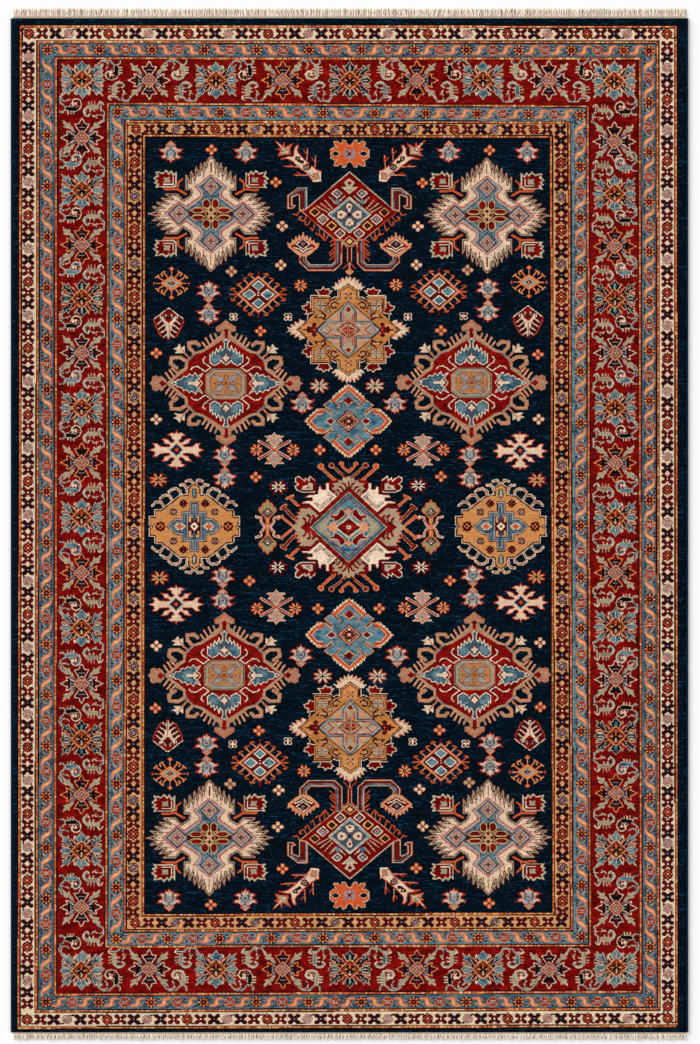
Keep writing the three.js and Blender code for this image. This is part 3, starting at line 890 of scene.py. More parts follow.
motif('snowB', 1302, 1408, 10.453, '''
L c 2.7 q: 1302,1408 1462,1318
L a 1.7 q: 1306,1405 1456,1320
L x .6 q: 1310,1402 1450,1322
J H c .8 y: 1302,1230 1326,1262 1398,1266 1356,1292 1384,1316 1338,1350 1302,1384
F A y: 1302,1285 1328,1308 1302,1334 1276,1308
L o .6 y: 1262,1300 1302,1346 1342,1300
L q .6 y: 1270,1272 1302,1256 1334,1272
D x .6 .6 y: 1302,1308
L a .8 y: 1302,1236 1302,1268
L a .8 q: 1380,1270 1350,1292
L a .7 q: 1370,1322 1344,1340
L q .6 q: 1312,1340 1338,1300
D a 1.4 1.2 .: 1302,1408
''')
motif('star', 162, 240, 12.06, '''
L r 2.7 q: 172,222 206,168
L r 2.7 q: 184,232 256,212
L o 2.1 q: 172,222 202,176
L o 2.1 q: 184,232 246,216
L y 1.15 q: 173,220 196,184
L y 1.15 q: 186,232 234,219
L k .6 y: 162,236 162,190
L k .6 x: 166,240 216,240
L k .5 q: 166,236 206,212
D k .7 .7 .: 162,240
''')
motif('ros8', 271, 164, 10.453, '''
L a 2.7 q: 271,164 294,116
L a 2.7 q: 271,164 321,146
L o 1.9 q: 276,154 294,116
L o 1.9 q: 280,160 321,146
L f .9 q: 282,140 294,118
L f .9 q: 294,156 320,146
L k .8 y: 271,160 271,102
L k .8 x: 276,164 338,164
L k .7 q: 282,152 318,116
D m 1.7 1.6 .: 271,164
D l .7 .7 .: 271,164
''')
motif('ros4', 478, 1040, 15.68, '''
D o 2.4 2.6 y: 478,985
D o 2.6 2.4 x: 540,1040
D s 1.5 1.6 y: 478,984
D s 1.6 1.5 x: 541,1040
D y .8 .9 y: 478,980
D y .9 .8 x: 546,1040
D a .8 .8 q: 504,1014
D D 1.2 1.2 .: 478,1040
''')
motif('check', 912, 815, 15.68, '''
D w 2.1 1.9 q: 944,785
D r 1.5 1.4 q: 943,786
D w .9 .9 .: 912,815
''')
motif('side', 597, 802, 12.06, '''
L c 2.5 q: 600,300 642,242 694,256
L r .9 q: 600,300 642,242 688,256
L c 2.7 q: 676,410 692,335 722,300 764,302
L r .9 q: 676,410 692,335 722,300 756,302
L c 2.7 q: 760,428 764,378 812,346 868,352 904,384
L r .9 q: 760,428 764,378 812,346 868,352 896,384
L c 2.5 q: 862,488 902,424 956,424 1004,462
L r .9 q: 862,488 902,424 956,424 996,460
L c 2.5 q: 958,568 1004,504 1058,506 1104,550
L r .9 q: 958,568 1004,504 1058,506 1096,548
Q c q: 597,276 674,324 684,412 770,416 998,592 1074,598 1078,676 1148,678 1146,784 1106,802
Q m q: 597,284 668,326 676,420 766,424 994,600 1066,606 1070,684 1138,686 1136,780 1098,802
Q g q: 597,300 654,338 662,434 758,438 986,616 1054,620 1056,700 1126,702 1122,770 1082,802
O b k .8 y: 597,345 622,362 626,432 597,468 570,432 572,362
L w .7 y: 597,370 597,440
E A m .8 q: 597,502 648,502 648,622 748,624 748,702 826,706 930,802
Q m q: 597,518 634,518 634,640 732,642 732,722 818,726 904,802
Q B q: 597,530 625,530 625,650 722,652 722,732 814,736 888,802
Q D q: 597,560 616,560 616,660 710,662 710,742 806,746 870,802
L A .6 q: 610,536 610,640
F A .: 570,660 624,660 680,660 684,948 624,940 570,940 514,948 512,660
F m .: 530,672 665,672 668,932 530,932
F m q: 597,664 672,664 672,800 597,800
F s q: 606,676 660,676 660,744 634,756 634,694 606,694
L y .5 q: 612,682 650,682 650,740
F D y: 597,640 625,700 597,760 570,700
F m .: 597,722 676,802 597,882 518,802
O z x .7 .: 597,742 652,800 597,860 542,800
D m 1.4 1.4 .: 597,800
O h d .6 x: 690,800 742,756 800,748 852,800 800,852 742,844
F a x: 774,756 790,784 832,800 790,816 774,846 756,814 716,800 756,786
D o 1.0 .9 x: 772,800
D h .5 .5 x: 772,800
D m 1.5 1.4 q: 706,502 750,502 706,546 750,546
D m 1.2 1.1 q: 728,484 728,564 688,524 768,524
D m 1.8 1.7 q: 728,524
D r .9 .9 q: 728,524
D d 1.5 1.4 q: 822,603 868,603 822,649 868,649
D m .7 .7 q: 822,603 868,603 822,649 868,649
D m .9 .8 q: 845,592 845,660 808,626 882,626
D R 1.1 1.0 q: 845,626
D m 1.8 1.7 x: 976,770 1036,770 976,834 1036,834
D v 1.5 1.5 x: 1006,756 1006,848 958,802 1054,802
D v 1.3 1.2 x: 1006,802
D o .6 .6 x: 1006,802
L m .9 x: 970,764 1042,840
L m .9 x: 1042,764 970,840
L i .5 q: 700,470 760,470 960,630
''')
motif('orn', 1480, 808, 12.06, '''
L c 2.4 q: 1478,806 1436,790 1406,748 1398,700 1340,684
L a 1.1 q: 1472,806 1438,788 1408,748 1394,702 1350,686
F n y: 1450,694 1510,694 1502,786 1458,786
J Z o .9 y: 1480,480 1506,522 1530,516 1548,552 1540,570 1572,572 1590,606 1566,640 1528,672 1504,700 1502,752 1480,790
O p m .9 y: 1480,580 1544,634 1480,694 1416,634
L k .6 y: 1480,596 1524,634 1480,676 1436,634 1480,596
D w .9 .9 y: 1480,612
D a .8 .7 y: 1480,652
F o y: 1464,696 1496,696 1490,776 1470,776
L y .6 y: 1480,700 1480,766
''')
motif('sun', 782, 198, 10.453, '''
F o q: 782,110 800,96 832,60 856,54 866,98 908,72 944,70 940,106 910,140 950,132 984,158 980,200 960,192 934,170 906,178 886,200 782,200
E o h .6 q: 782,118 808,108 824,62 856,54 868,98 908,70 946,72 940,108 914,136 950,132 986,160 984,196 966,190 940,168 908,174 880,200
F l .: 782,150 800,172 822,140 836,148 820,178 850,176 850,188 826,198 850,212 848,224 820,220 836,246 822,256 800,228 796,262 768,262 764,228 742,256 728,246 744,220 716,224 714,212 738,198 714,188 714,176 744,178 728,148 742,140 764,172
L k .7 .: 750,168 814,228
L k .7 .: 814,168 750,228
D r 1.6 2.0 .: 780,200
D x .8 1.0 .: 780,200
''')
motif('spray', 250, 265, 10.453, '''
O c a 1.0 .: 480,378 462,380 372,318 300,250 252,198 236,172 236,140 248,112 232,108 206,140 200,196 192,226 138,230 62,252 132,250 178,272 222,310 268,350 318,386 356,424 398,480 478,482
L a 1.3 .: 335,262 342,140
L s .7 .: 335,262 342,150
L a 1.0 .: 338,205 302,165
L a 1.3 .: 420,335 426,215
L s .7 .: 420,335 426,222
L a 1.0 .: 422,290 388,240
L a 1.3 .: 245,335 92,326
L s .7 .: 245,335 120,330
L a 1.0 .: 200,332 160,308
L a 1.3 .: 352,420 205,420
L s .7 .: 352,420 225,420
L a 1.0 .: 285,420 235,392
F m .: 208,232 238,224 268,232 262,262 300,268 304,298 272,300 244,282 214,262
L k .9 .: 222,240 290,290
D e .9 .9 .: 240,248
F m .: 292,345 300,318 336,300 378,312 376,348 352,372 316,374
F p .: 306,340 318,322 352,318 362,340 344,360 318,360
D v .8 .8 .: 336,340
F q .: 396,402 472,388 470,470 400,474
L a .7 .: 396,408 466,392
L D .8 .: 330,378 400,440
L w 1.2 .: 470,386 478,478 402,484
O q a .9 .: 30,222 62,166 26,150 64,140 4,62 78,122 96,80 104,136 188,92 158,136 162,204 92,208
F h .: 60,190 96,152 140,138 140,188 92,194
L w .7 .: 30,85 96,160
L x .7 .: 72,182 130,150
''')
# ------------------------------------------------------------------ bands
SL = [20.0, 37.6, 56.0, 107.4, 125.7, 143.8]
SR = [676.3, 658.1, 640.2, 588.9, 570.4, 552.3]
ST = [26.9, 42.4, 58.8, 105.2, 122.3, 136.5]
SB = [1026.7, 1009.8, 992.9, 945.9, 929.9, 914.1]
GROUND = ['C', 'S', 'v', 'b', 'T', 'n']
rng = np.random.default_rng(11)


def box(c, x0, y0, x1, y1):
    fill(c, [(x0, y0), (x1, y0), (x1, y1), (x0, y1)])


def dashes(x0, y0, x1, y1, w):
    L = math.hypot(x1 - x0, y1 - y0)
    dx, dy = (x1 - x0) / L, (y1 - y0) / L
    kinds = 'OPUfOP' if y0 == y1 else 'OPoOPU'
    t = 0.0
    while t < L:
        n = 3.4 + 1.6 * rng.random()
        a, b = t + .25, min(t + n - .3, L)
        if b <= a:
            break
        c = kinds[rng.integers(6)]
        fill(c, [(x0 + dx * a - dy * w, y0 + dy * a - dx * w), (x0 + dx * b - dy * w, y0 + dy * b - dx * w),
                 (x0 + dx * b + dy * w, y0 + dy * b + dx * w), (x0 + dx * a + dy * w, y0 + dy * a + dx * w)])
        t += n


CLOTH[:] = KI['n']
for i in range(6):
    l, r, t, b = SL[i], SR[i], ST[i], SB[i]
    box('m' if i in (2, 3) else 'k', l - 2.0, t - 1.85, r + 2.0, b + 1.85)
    box('x', l - .95, t - .9, r + .95, b + .9)
    box('k', l + .95, t + .9, r - .95, b - .9)
    for q in ((l, t, r, t), (l, b, r, b), (l, t, l, b), (r, t, r, b)):
        dashes(*q, .8)
    box(GROUND[i], l + 2.0, t + 1.85, r - 2.0, b - 1.85)

# cream and tan guards: rosettes between small crosses
SEQ = ['gl', 'xk', 'xr', 'gr', 'xr', 'xk']


def guard(x0, y0, x1, y1, start, anchors, alt=1.0):
    """Motifs along a guard. anchors: (number, place along it) pairs; the rest fall evenly between."""
    vert = abs(x1 - x0) < abs(y1 - y0)
    k, at = np.array(anchors, float).T
    for i in range(int(k[0]), int(k[-1]) + 1):
        z = np.interp(i, k, at)
        t = (z - (y0 if vert else x0)) / ((y1 - y0) if vert else (x1 - x0))
        x, y = (x0 + (x1 - x0) * t, z) if vert else (z, y0 + (y1 - y0) * t)
        m = SEQ[(i + start) % 6]
        if m in ('gl', 'gr'):
            d = 1 if m == 'gl' else -1
            u, v = back(x, y)
            for s in (-1, 1):
                if vert:
                    stroke('k' if m == 'gl' else 'm', 1.6, [(u + 3.6 * d * s * alt, v + s * 2.4), (u + 4.4 * d * s * alt, v + s * 5.4), (u + 3.4 * d * s * alt, v + s * 7.8)])
                else:
                    stroke('k' if m == 'gl' else 'm', 1.6, [(u + s * 2.4, v - 3.6 * d * s * alt), (u + s * 6, v - 4.4 * d * s * alt), (u + s * 9, v - 3.3 * d * s * alt)])
        draw(m, x, y, sx=alt, sy=alt, swap='lm sl' if m == 'gl' and alt != 1.0 else None)


def flowers(pts, kinds, rot=False, s=1.0):
    """Rosettes at pts, and a leaf between each pair, leaning towards the middle of its side."""
    for i, (x, y) in enumerate(pts):
        draw('ro' if kinds[i % len(kinds)] == 'o' else 'rr', x, y, sx=s, sy=s)
        if i < len(pts) - 1:
            X, Y = (x + pts[i + 1][0]) / 2, (y + pts[i + 1][1]) / 2
            draw('sv' if rot else 'sh', X, Y, fx=-1 if (X > 350) != (Y > 525) else 1, sx=s, sy=s)


def line(x0, y0, x1, y1, n):
    return [(x0 + (x1 - x0) * i / (n - 1), y0 + (y1 - y0) * i / (n - 1)) for i in range(n)]


guard(29.2, 33.9, 667.0, 34.2, 3, [(0, 29.2), (48, 667.0)])
guard(27.4, 1019.3, 667.8, 1018.0, 3, [(0, 27.4), (48, 667.8)])
guard(28.9, 40, 27.5, 1010, 0, [(-1, 47.6), (0, 57.0), (3, 84.5), (6, 115.8), (9, 149.0), (81, 946.5), (86, 1003.5)])
guard(667.0, 40, 667.8, 1010, 4, [(0, 46.6), (5, 100.1), (11, 161.3), (50, 588.3), (56, 657.2), (77, 874.2), (83, 941.9), (89, 1006.0)])
flowers(line(47.4, 50.0, 650.0, 50.6, 24), 'or')
flowers(line(46.4, 1002.2, 650.0, 1001.4, 24), 'or')
flowers([(47.6, 50.2)] + line(47.5, 84.5, 46.2, 974.8, 36) + [(46.2, 1001.8)], 'or' + 'ro' * 18, True)
flowers([(649.0, 51.0)] + line(649.0, 78.0, 650.3, 971.8, 37) + [(650.3, 1001.5)], 'or', True)
flowers(line(117.8, 112.0, 580.0, 114.9, 19), 'or')
flowers(line(116.3, 938.6, 581.8, 937.0, 19), 'or')
flowers(line(117.8, 112.0, 116.3, 938.8, 33), 'or', True)
flowers(line(579.9, 115.0, 581.8, 936.8, 33), 'or', True)
guard(135.2, 129.2, 560.8, 129.9, 3, [(0, 136.2), (32, 560.4)], .95)
guard(133.6, 922.6, 563.0, 921.6, 3, [(0, 135.4), (32, 561.4)], .95)
guard(135.0, 140, 133.4, 915, 1, [(0, 140.4), (69, 912.0)], 1.06)
guard(561.0, 140, 562.6, 915, 1, [(0, 141.0), (69, 912.0)], 1.06)

# main border
TX = [83, 149.5, 216.2, 283, 350, 417, 483, 549, 614.5]
CY = [79.5, 138, 190.5, 245, 298.5, 353, 408, 462.5, 517.5, 573, 628, 683.5, 739, 794.5, 850.5, 907, 970.5]
CYR = [81.5, 141.8, 194, 246.5, 298.8, 353, 408, 462.8, 517.7, 572.6, 626.6, 679.5, 736, 793, 849.5, 907.9, 967.2]
COOL, DARK, WARM = '', 'bn Dk co', 'cP is'
for y, top in ((80.6, True), (969.0, False)):
    for i in range(8):
        x = (TX[i] + TX[i + 1]) / 2
        draw(('V1', 'V2')[i % 2] if i < 4 else ('V2', 'V1')[i % 2], x, y, fx=1 if top else -1, fy=-1 if x < 350 else 1, rot=1, sx=1.12, sy=.95)
    for i, x in enumerate(TX):
        if i % 2:
            draw('B', x, y, swap=WARM if i in (3, 5) else COOL)
        else:
            draw('A', x, y, swap=DARK if i == 4 else COOL)
for left in (True, False):
    ys = CY if left else CYR
    for i in range(16):
        y = (ys[i] + ys[i + 1]) / 2
        x = (82.3 if left else 614.3) + ((-.7 if left else 2.1) * (y - 80) / 890)
        draw(('V1', 'V3')[i % 2] if i < 8 else ('V3', 'V1')[i % 2], x, y, fx=1 if left else -1, fy=1 if y < 525 else -1)
    for i, y in enumerate(ys):
        x = (82.3 if left else 614.3) + ((-.7 if left else 2.1) * (y - 80) / 890)
        if i % 2:
            draw('B', x, y, swap=WARM if i in (3, 7, 9, 13) else COOL)
        else:
            draw('A', x, y, swap=DARK if i in (4, 12) else COOL)

# field
draw('cross', 211.2, 214.1)
draw('palm', 349.6, 214.4)
draw('diamond', 226.2, 383.4)
draw('gold', 348.5, 329.8)
draw('blue', 348.5, 421.2)
draw('centre', 348.7, 527.2)
draw('diamond', 471.6, 382.6, fx=-1)
for x, y, d in ((487, 215.6, -1), (209.6, 837.6, 1), (488.2, 837.2, -1)):
    draw('cross', x, y, fx=d, fy=-1 if y > 525 else 1)
draw('palm', 350.0, 836.4, fy=-1)
draw('gold', 350.4, 727.6, fy=-1)
draw('diamond', 224.5, 675.4, fy=-1)
draw('diamond', 474.6, 674.9, fx=-1, fy=-1)
draw('blue', 349.3, 634.9, fy=-1)
draw('side', 194.5, 526.5)
draw('side', 501.0, 526.5, fx=-1)
draw('orn', 267.7, 527.0)
draw('orn', 431.0, 527.0, fx=-1)
for x, y in ((258.5, 294.6), (439, 291.6), (260.1, 762.5), (441.1, 762)):
    draw('hook', x, y)
for x, y in ((171.7, 283.2), (529, 282), (170.2, 773.4), (527.5, 771.5)):
    draw('oros', x, y)
for x, y in ((208.8, 303), (488, 300), (225, 467), (470, 467), (222.8, 588.2), (472.9, 586.8), (206.8, 755.4), (490.2, 754.5)):
    draw('bud', x, y)
    draw('bud', x, y, fy=-1)
for x, y, d in ((169, 324.3, 1), (528, 322, 1), (168, 735.6, -1), (529.8, 734, -1)):
    draw('fan', x, y, fy=d)
for x, y in ((176.8, 450), (520, 451), (176.4, 604.4), (520.8, 602.6)):
    draw('snowA', x, y)
for x, y in ((274.5, 449.8), (423, 451), (276.4, 607), (422.4, 607)):
    draw('snowB', x, y)
for x, y, d in ((302.3, 392, 1), (395, 392, 1), (301, 667, -1), (397.2, 667, -1)):
    draw('bud', x, y, fy=d)
for x, y, d in ((171, 141, 1), (246, 141, 1), (449, 141, 1), (527, 141, 1), (169.3, 910.8, -1), (245.5, 910.8, -1), (454, 910, -1), (529, 909.4, -1)):
    draw('bud', x, y, fy=d)
for x, y in ((158.4, 480), (159.8, 577.8), (537, 480), (536.4, 577)):
    draw('star', x, y, swap='yt')
for x, y in ((319.4, 386), (375, 386), (322.9, 676.1), (377.7, 676.1)):
    draw('star', x, y, swap='ra oi yc')
for x, y in ((278.5, 487), (418.5, 485.5), (277.9, 567.3), (421.2, 567.3)):
    draw('star', x, y, swap='or rv yw')
for x, y in ((293.5, 450), (404, 450), (256.6, 450), (443.5, 450), (257.4, 608.5), (295.3, 608.5), (404.5, 607.7), (443.2, 607.7),
             (300.9, 285.7), (396, 285), (304.1, 770.9), (404.9, 770.9)):
    draw('ros8', x, y)
for x, y in ((211.6, 149.8), (276, 182.5), (489.6, 150.6), (422.5, 183), (260.7, 331.2), (441, 330.6), (156.6, 353.3), (538, 354.6),
             (320, 450), (376, 450), (256, 477), (441, 476.6), (249.7, 580.9), (450.1, 580.5), (318.1, 608.5), (379.4, 608.5),
             (155.6, 708.1), (540.4, 707), (259.1, 730.5), (439.6, 729.9), (282.7, 868.5), (416.4, 868.1), (211, 904.7), (489.2, 903)):
    draw('ros4', x, y, sx=.9, sy=.9)
for x, y in ((282.4, 226.3), (281, 265.3), (418, 226.5), (416.5, 265), (156.5, 419.5), (538.6, 419.3),
             (156.6, 645.8), (540, 642.6), (279, 790.1), (419.7, 789.1), (277.9, 826.7), (422.9, 826.3)):
    draw('ros4', x, y, sx=.9, sy=.9, swap='os sW ar')
for x, y in ((231.5, 271.6), (467.8, 270.2), (230.4, 783.8), (469.3, 782.4)):
    draw('ros4', x, y, sx=.9, sy=.9, swap='oq si')
for x, y in ((233.6, 316.8), (288.3, 317), (408, 317), (463.6, 316), (232.9, 744), (288, 740.9), (412.8, 741.6), (465.8, 743.5)):
    draw('check', x, y)
draw('sun', 349.8, 153.9)
draw('sun', 349.7, 895.2, fy=-1)
for x, y, d, e in ((298.9, 160.4, 1, 1), (401.4, 160.4, -1, 1), (296.6, 889.6, 1, -1), (402.4, 888.6, -1, -1)):
    draw('spray', x, y, fx=d, fy=e)

# ------------------------------------------------------------------ wool and how it takes dye
def linear(c):
    c = np.asarray(c, float) / 255
    return np.where(c <= .04045, c / 12.92, ((c + .055) / 1.055) ** 2.4)


def blur(a, n, axis):
    """Box average over n samples along an axis, wrapping round."""
    k = np.zeros(a.shape[axis])
    k[:n] = 1 / n
    shape = [1, 1]
    shape[axis] = -1
    f = np.fft.rfft(a, axis=axis) * np.fft.rfft(k).reshape(shape)
    return np.fft.irfft(f, n=a.shape[axis], axis=axis)


def grain(nu, nv, seed):
    """Noise about nu knots wide and nv knots tall, mean 0 and deviation 1."""
    a = np.random.default_rng(seed).standard_normal((NY, NX))
    a = blur(blur(a, nu, 1), nv, 0) if nv > 1 else blur(a, nu, 1)
    return (a - a.mean()) / a.std()


PAL = np.array([YARN[k] for k in KEYS], float)
RGB = PAL[CLOTH]
LIGHT = 0.92                 # the studio light is a little over one, so yarns are a little under
speck, streak, long_streak, patch = grain(1, 1, 3), grain(5, 1, 4), grain(17, 1, 5), grain(9, 7, 6)
abrash = np.repeat(np.cumsum(np.random.default_rng(7).standard_normal(NY))[:, None], NX, 1)
abrash = blur(abrash - blur(abrash, 201, 0), 5, 0)
abrash /= np.abs(abrash).max()
rows = np.repeat(np.random.default_rng(8).standard_normal(NY)[:, None], NX, 1)
tone = 1 + .055 * speck + .035 * streak + .03 * abrash + .02 * rows
RGB = RGB * tone[..., None]
navy = (CLOTH == KI['n'])
s = np.clip(.62 * streak + .55 * long_streak + .3 * speck - .45, 0, 2.2) / 2.2
RGB += navy[..., None] * (s[..., None] * (np.array([16, 62, 92]) - RGB) * 1.15)
s = np.clip(.5 * streak + .8 * speck - 1.9, 0, 1)
RGB += navy[..., None] * s[..., None] * (np.array([52, 96, 118]) - RGB) * .8
blue = (CLOTH == KI['S']) | (CLOTH == KI['b']) | (CLOTH == KI['B'])
s = np.clip(.5 * patch + .35 * streak, -1, 1)
RGB += blue[..., None] * (np.maximum(-s, 0)[..., None] * (np.array([26, 68, 92]) - RGB) * .85)
RGB += blue[..., None] * (np.maximum(s, 0)[..., None] * (np.array([120, 138, 140]) - RGB) * .5)
red = (CLOTH == KI['v']) | (CLOTH == KI['r']) | (CLOTH == KI['R'])
RGB += red[..., None] * (np.clip(.4 * streak + .4 * patch, -1, 1)[..., None] * np.array([32, 5, 3]))
KNOT = np.concatenate([linear(np.clip(RGB, 0, 255)) * LIGHT, np.ones((NY, NX, 1))], 2).astype(np.float32)


# ------------------------------------------------------------------ meshes
def make(name, V, quads, ngons=(), colour=None, smooth=None):
    """A mesh piece. colour is one linear RGBA a face, quads first."""
    me = bpy.data.meshes.new(name)
    V = np.ascontiguousarray(V, np.float32)
    quads = np.asarray(quads, np.int32).reshape(-1, 4)
    flat = [quads.ravel()] + [np.asarray(g, np.int32) for g in ngons]
    loops = np.concatenate(flat)
    sizes = np.concatenate([np.full(len(quads), 4, np.int32), np.array([len(g) for g in ngons], np.int32)])
    starts = np.concatenate([[0], np.cumsum(sizes)[:-1]]).astype(np.int32)
    me.vertices.add(len(V))
    me.vertices.foreach_set("co", V.ravel())
    me.loops.add(len(loops))
    me.loops.foreach_set("vertex_index", loops)
    me.polygons.add(len(sizes))
    me.polygons.foreach_set("loop_start", starts)
    sm = np.ones(len(sizes), bool) if smooth is None else np.asarray(smooth, bool)
    me.polygons.foreach_set("use_smooth", sm)
    me.update(calc_edges=True)
    if colour is not None:
        a = me.attributes.new("yarn", 'FLOAT_COLOR', 'FACE')
        a.data.foreach_set("color", np.ascontiguousarray(colour, np.float32).ravel())
    o = bpy.data.objects.new(name, me)
    scene.collection.objects.link(o)
    return o


XW = (U0 + DU * np.arange(NX + 1) - 349.625) * PX
YW = -0.005 + (525.275 - (V0 + DV * np.arange(NY + 1))) * PX
PILE_TOP, PILE_BASE = 0.0089, 0.0030
rg = np.random.default_rng(21)
ZT = PILE_TOP + .00013 * rg.standard_normal((NY + 1, NX + 1)).clip(-2, 2)
ZT += .00022 * np.sin(XW[None, :] * 9.1 + 1.3 * np.sin(YW[:, None] * 2.3)) * np.sin(YW[:, None] * 6.7)
edge = np.minimum.reduce([np.arange(NX + 1)[None, :] * 1.0 + 0 * YW[:, None], (NX - np.arange(NX + 1))[None, :] + 0 * YW[:, None],
                          np.arange(NY + 1)[:, None] + 0 * XW[None, :], (NY - np.arange(NY + 1))[:, None] + 0 * XW[None, :]])
ZT -= .0022 * np.exp(-edge / 1.1)


def loop_of(i0, i1, j0, j1):
    """Grid points round a rectangle, clockwise seen from above."""
    a, b = np.arange(i0, i1), np.arange(j0, j1)
    i = np.concatenate([a, np.full(len(b), i1), a[::-1] + 1, np.full(len(b), i0)])
    j = np.concatenate([np.full(len(a), j0), b, np.full(len(a), j1), b[::-1] + 1])
    return i, j


def pile_piece(name, outer, inner):
    i0, i1, j0, j1 = outer
    M = np.zeros((NY, NX), bool)
    M[j0:j1, i0:i1] = True
    if inner:
        k0, k1, l0, l1 = inner
        M[l0:l1, k0:k1] = False
    fj, fi = np.nonzero(M)
    used = np.zeros((NY + 1, NX + 1), bool)
    for a in (0, 1):
        for b in (0, 1):
            used[fj + a, fi + b] = True
    idx = np.full((NY + 1, NX + 1), -1, np.int32)
    vj, vi = np.nonzero(used)
    idx[vj, vi] = np.arange(len(vj))
    V = [np.stack([XW[vi], YW[vj], ZT[vj, vi]], 1)]
    quads = [np.stack([idx[fj, fi], idx[fj + 1, fi], idx[fj + 1, fi + 1], idx[fj, fi + 1]], 1)]
    cols = [KNOT[fj, fi]]
    low = np.full((NY + 1, NX + 1), -1, np.int32)
    n = len(vj)
    for rect, flip in ((outer, False), (inner, True)):
        if not rect:
            continue
        i, j = loop_of(*rect)
        low[j, i] = n + np.arange(len(i))
        n += len(i)
        V.append(np.stack([XW[i], YW[j], np.full(len(i), PILE_BASE)], 1))
        if flip:
            i, j = i[::-1], j[::-1]
        i2, j2 = np.roll(i, -1), np.roll(j, -1)
        quads.append(np.stack([idx[j, i], idx[j2, i2], low[j2, i2], low[j, i]], 1))
        # the knot beside each stretch of wall: on the right of a clockwise walk
        mi, mj = (i + i2) / 2, (j + j2) / 2
        ci = np.clip(np.floor(mi - (j2 - j) * .5), 0, NX - 1).astype(int)
        cj = np.clip(np.floor(mj + (i2 - i) * .5), 0, NY - 1).astype(int)
        # the walls take the knot's colour darkened to 0.8: painted shade on the pile's sides
        cols.append(KNOT[cj, ci] * (.8, .8, .8, 1))
    ngons = []
    if inner:
        k0, k1, l0, l1 = inner
        A, B = np.arange, low
        ngons = [
            np.concatenate([B[j0, i0:i1 + 1], B[l0, k0:k1 + 1][::-1]]),
            np.concatenate([B[j0:j1 + 1, i1], B[l0:l1 + 1, k1][::-1]]),
            np.concatenate([B[j1, i0:i1 + 1][::-1], B[l1, k0:k1 + 1]]),
            np.concatenate([B[j0:j1 + 1, i0][::-1], B[l0:l1 + 1, k0]]),
        ]
    else:
        i, j = loop_of(*outer)
        ngons = [low[j, i]]
    quads = np.concatenate(quads)
    cols.append(np.tile(np.array([[.35, .28, .2, 1]], np.float32), (len(ngons), 1)))
    smooth = np.zeros(len(quads) + len(ngons), bool)
    smooth[:len(fj)] = True
    return make(name, np.concatenate(V), quads, ngons, np.concatenate(cols), smooth)


def cut(nodes_low, nodes_high):
    """A CAD band's outline as knot numbers."""
    i0 = int(round((nodes_low[0] - XW[0]) / (XW[1] - XW[0])))
    i1 = int(round((nodes_high[0] - XW[0]) / (XW[1] - XW[0])))
    j0 = int(round((nodes_high[1] - YW[0]) / (YW[1] - YW[0])))
    j1 = int(round((nodes_low[1] - YW[0]) / (YW[1] - YW[0])))
    return max(i0, 0), min(i1, NX), max(j0, 0), min(j1, NY)


PILE = [("pile_edge_band", "pile_navy"), ("stripe_1_outermost", "pile_gold"), ("pile_cream_guard", "pile_cream"),
        ("stripe_2", "pile_gold"), ("pile_blue_guard_outer", "pile_slate"), ("stripe_3", "pile_gold"),
        ("pile_main_border", "pile_red"), ("stripe_4", "pile_gold"), ("pile_blue_guard_inner", "pile_slate"),
        ("stripe_5", "pile_gold"), ("pile_tan_guard", "pile_tan"), ("stripe_6_innermost", "pile_gold"),
        ("pile_field", "pile_navy")]
rects = [cut(*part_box(n)) for n, _ in PILE]
rects[0] = (0, NX, 0, NY)


# ------------------------------------------------------------------ materials
def principled(name):
    m = bpy.data.materials.new(name)
    m.use_nodes = True
    nt = m.node_tree
    return m, nt, nt.nodes["Principled BSDF"]


def link(nt, a, b):
    nt.links.new(a, b)


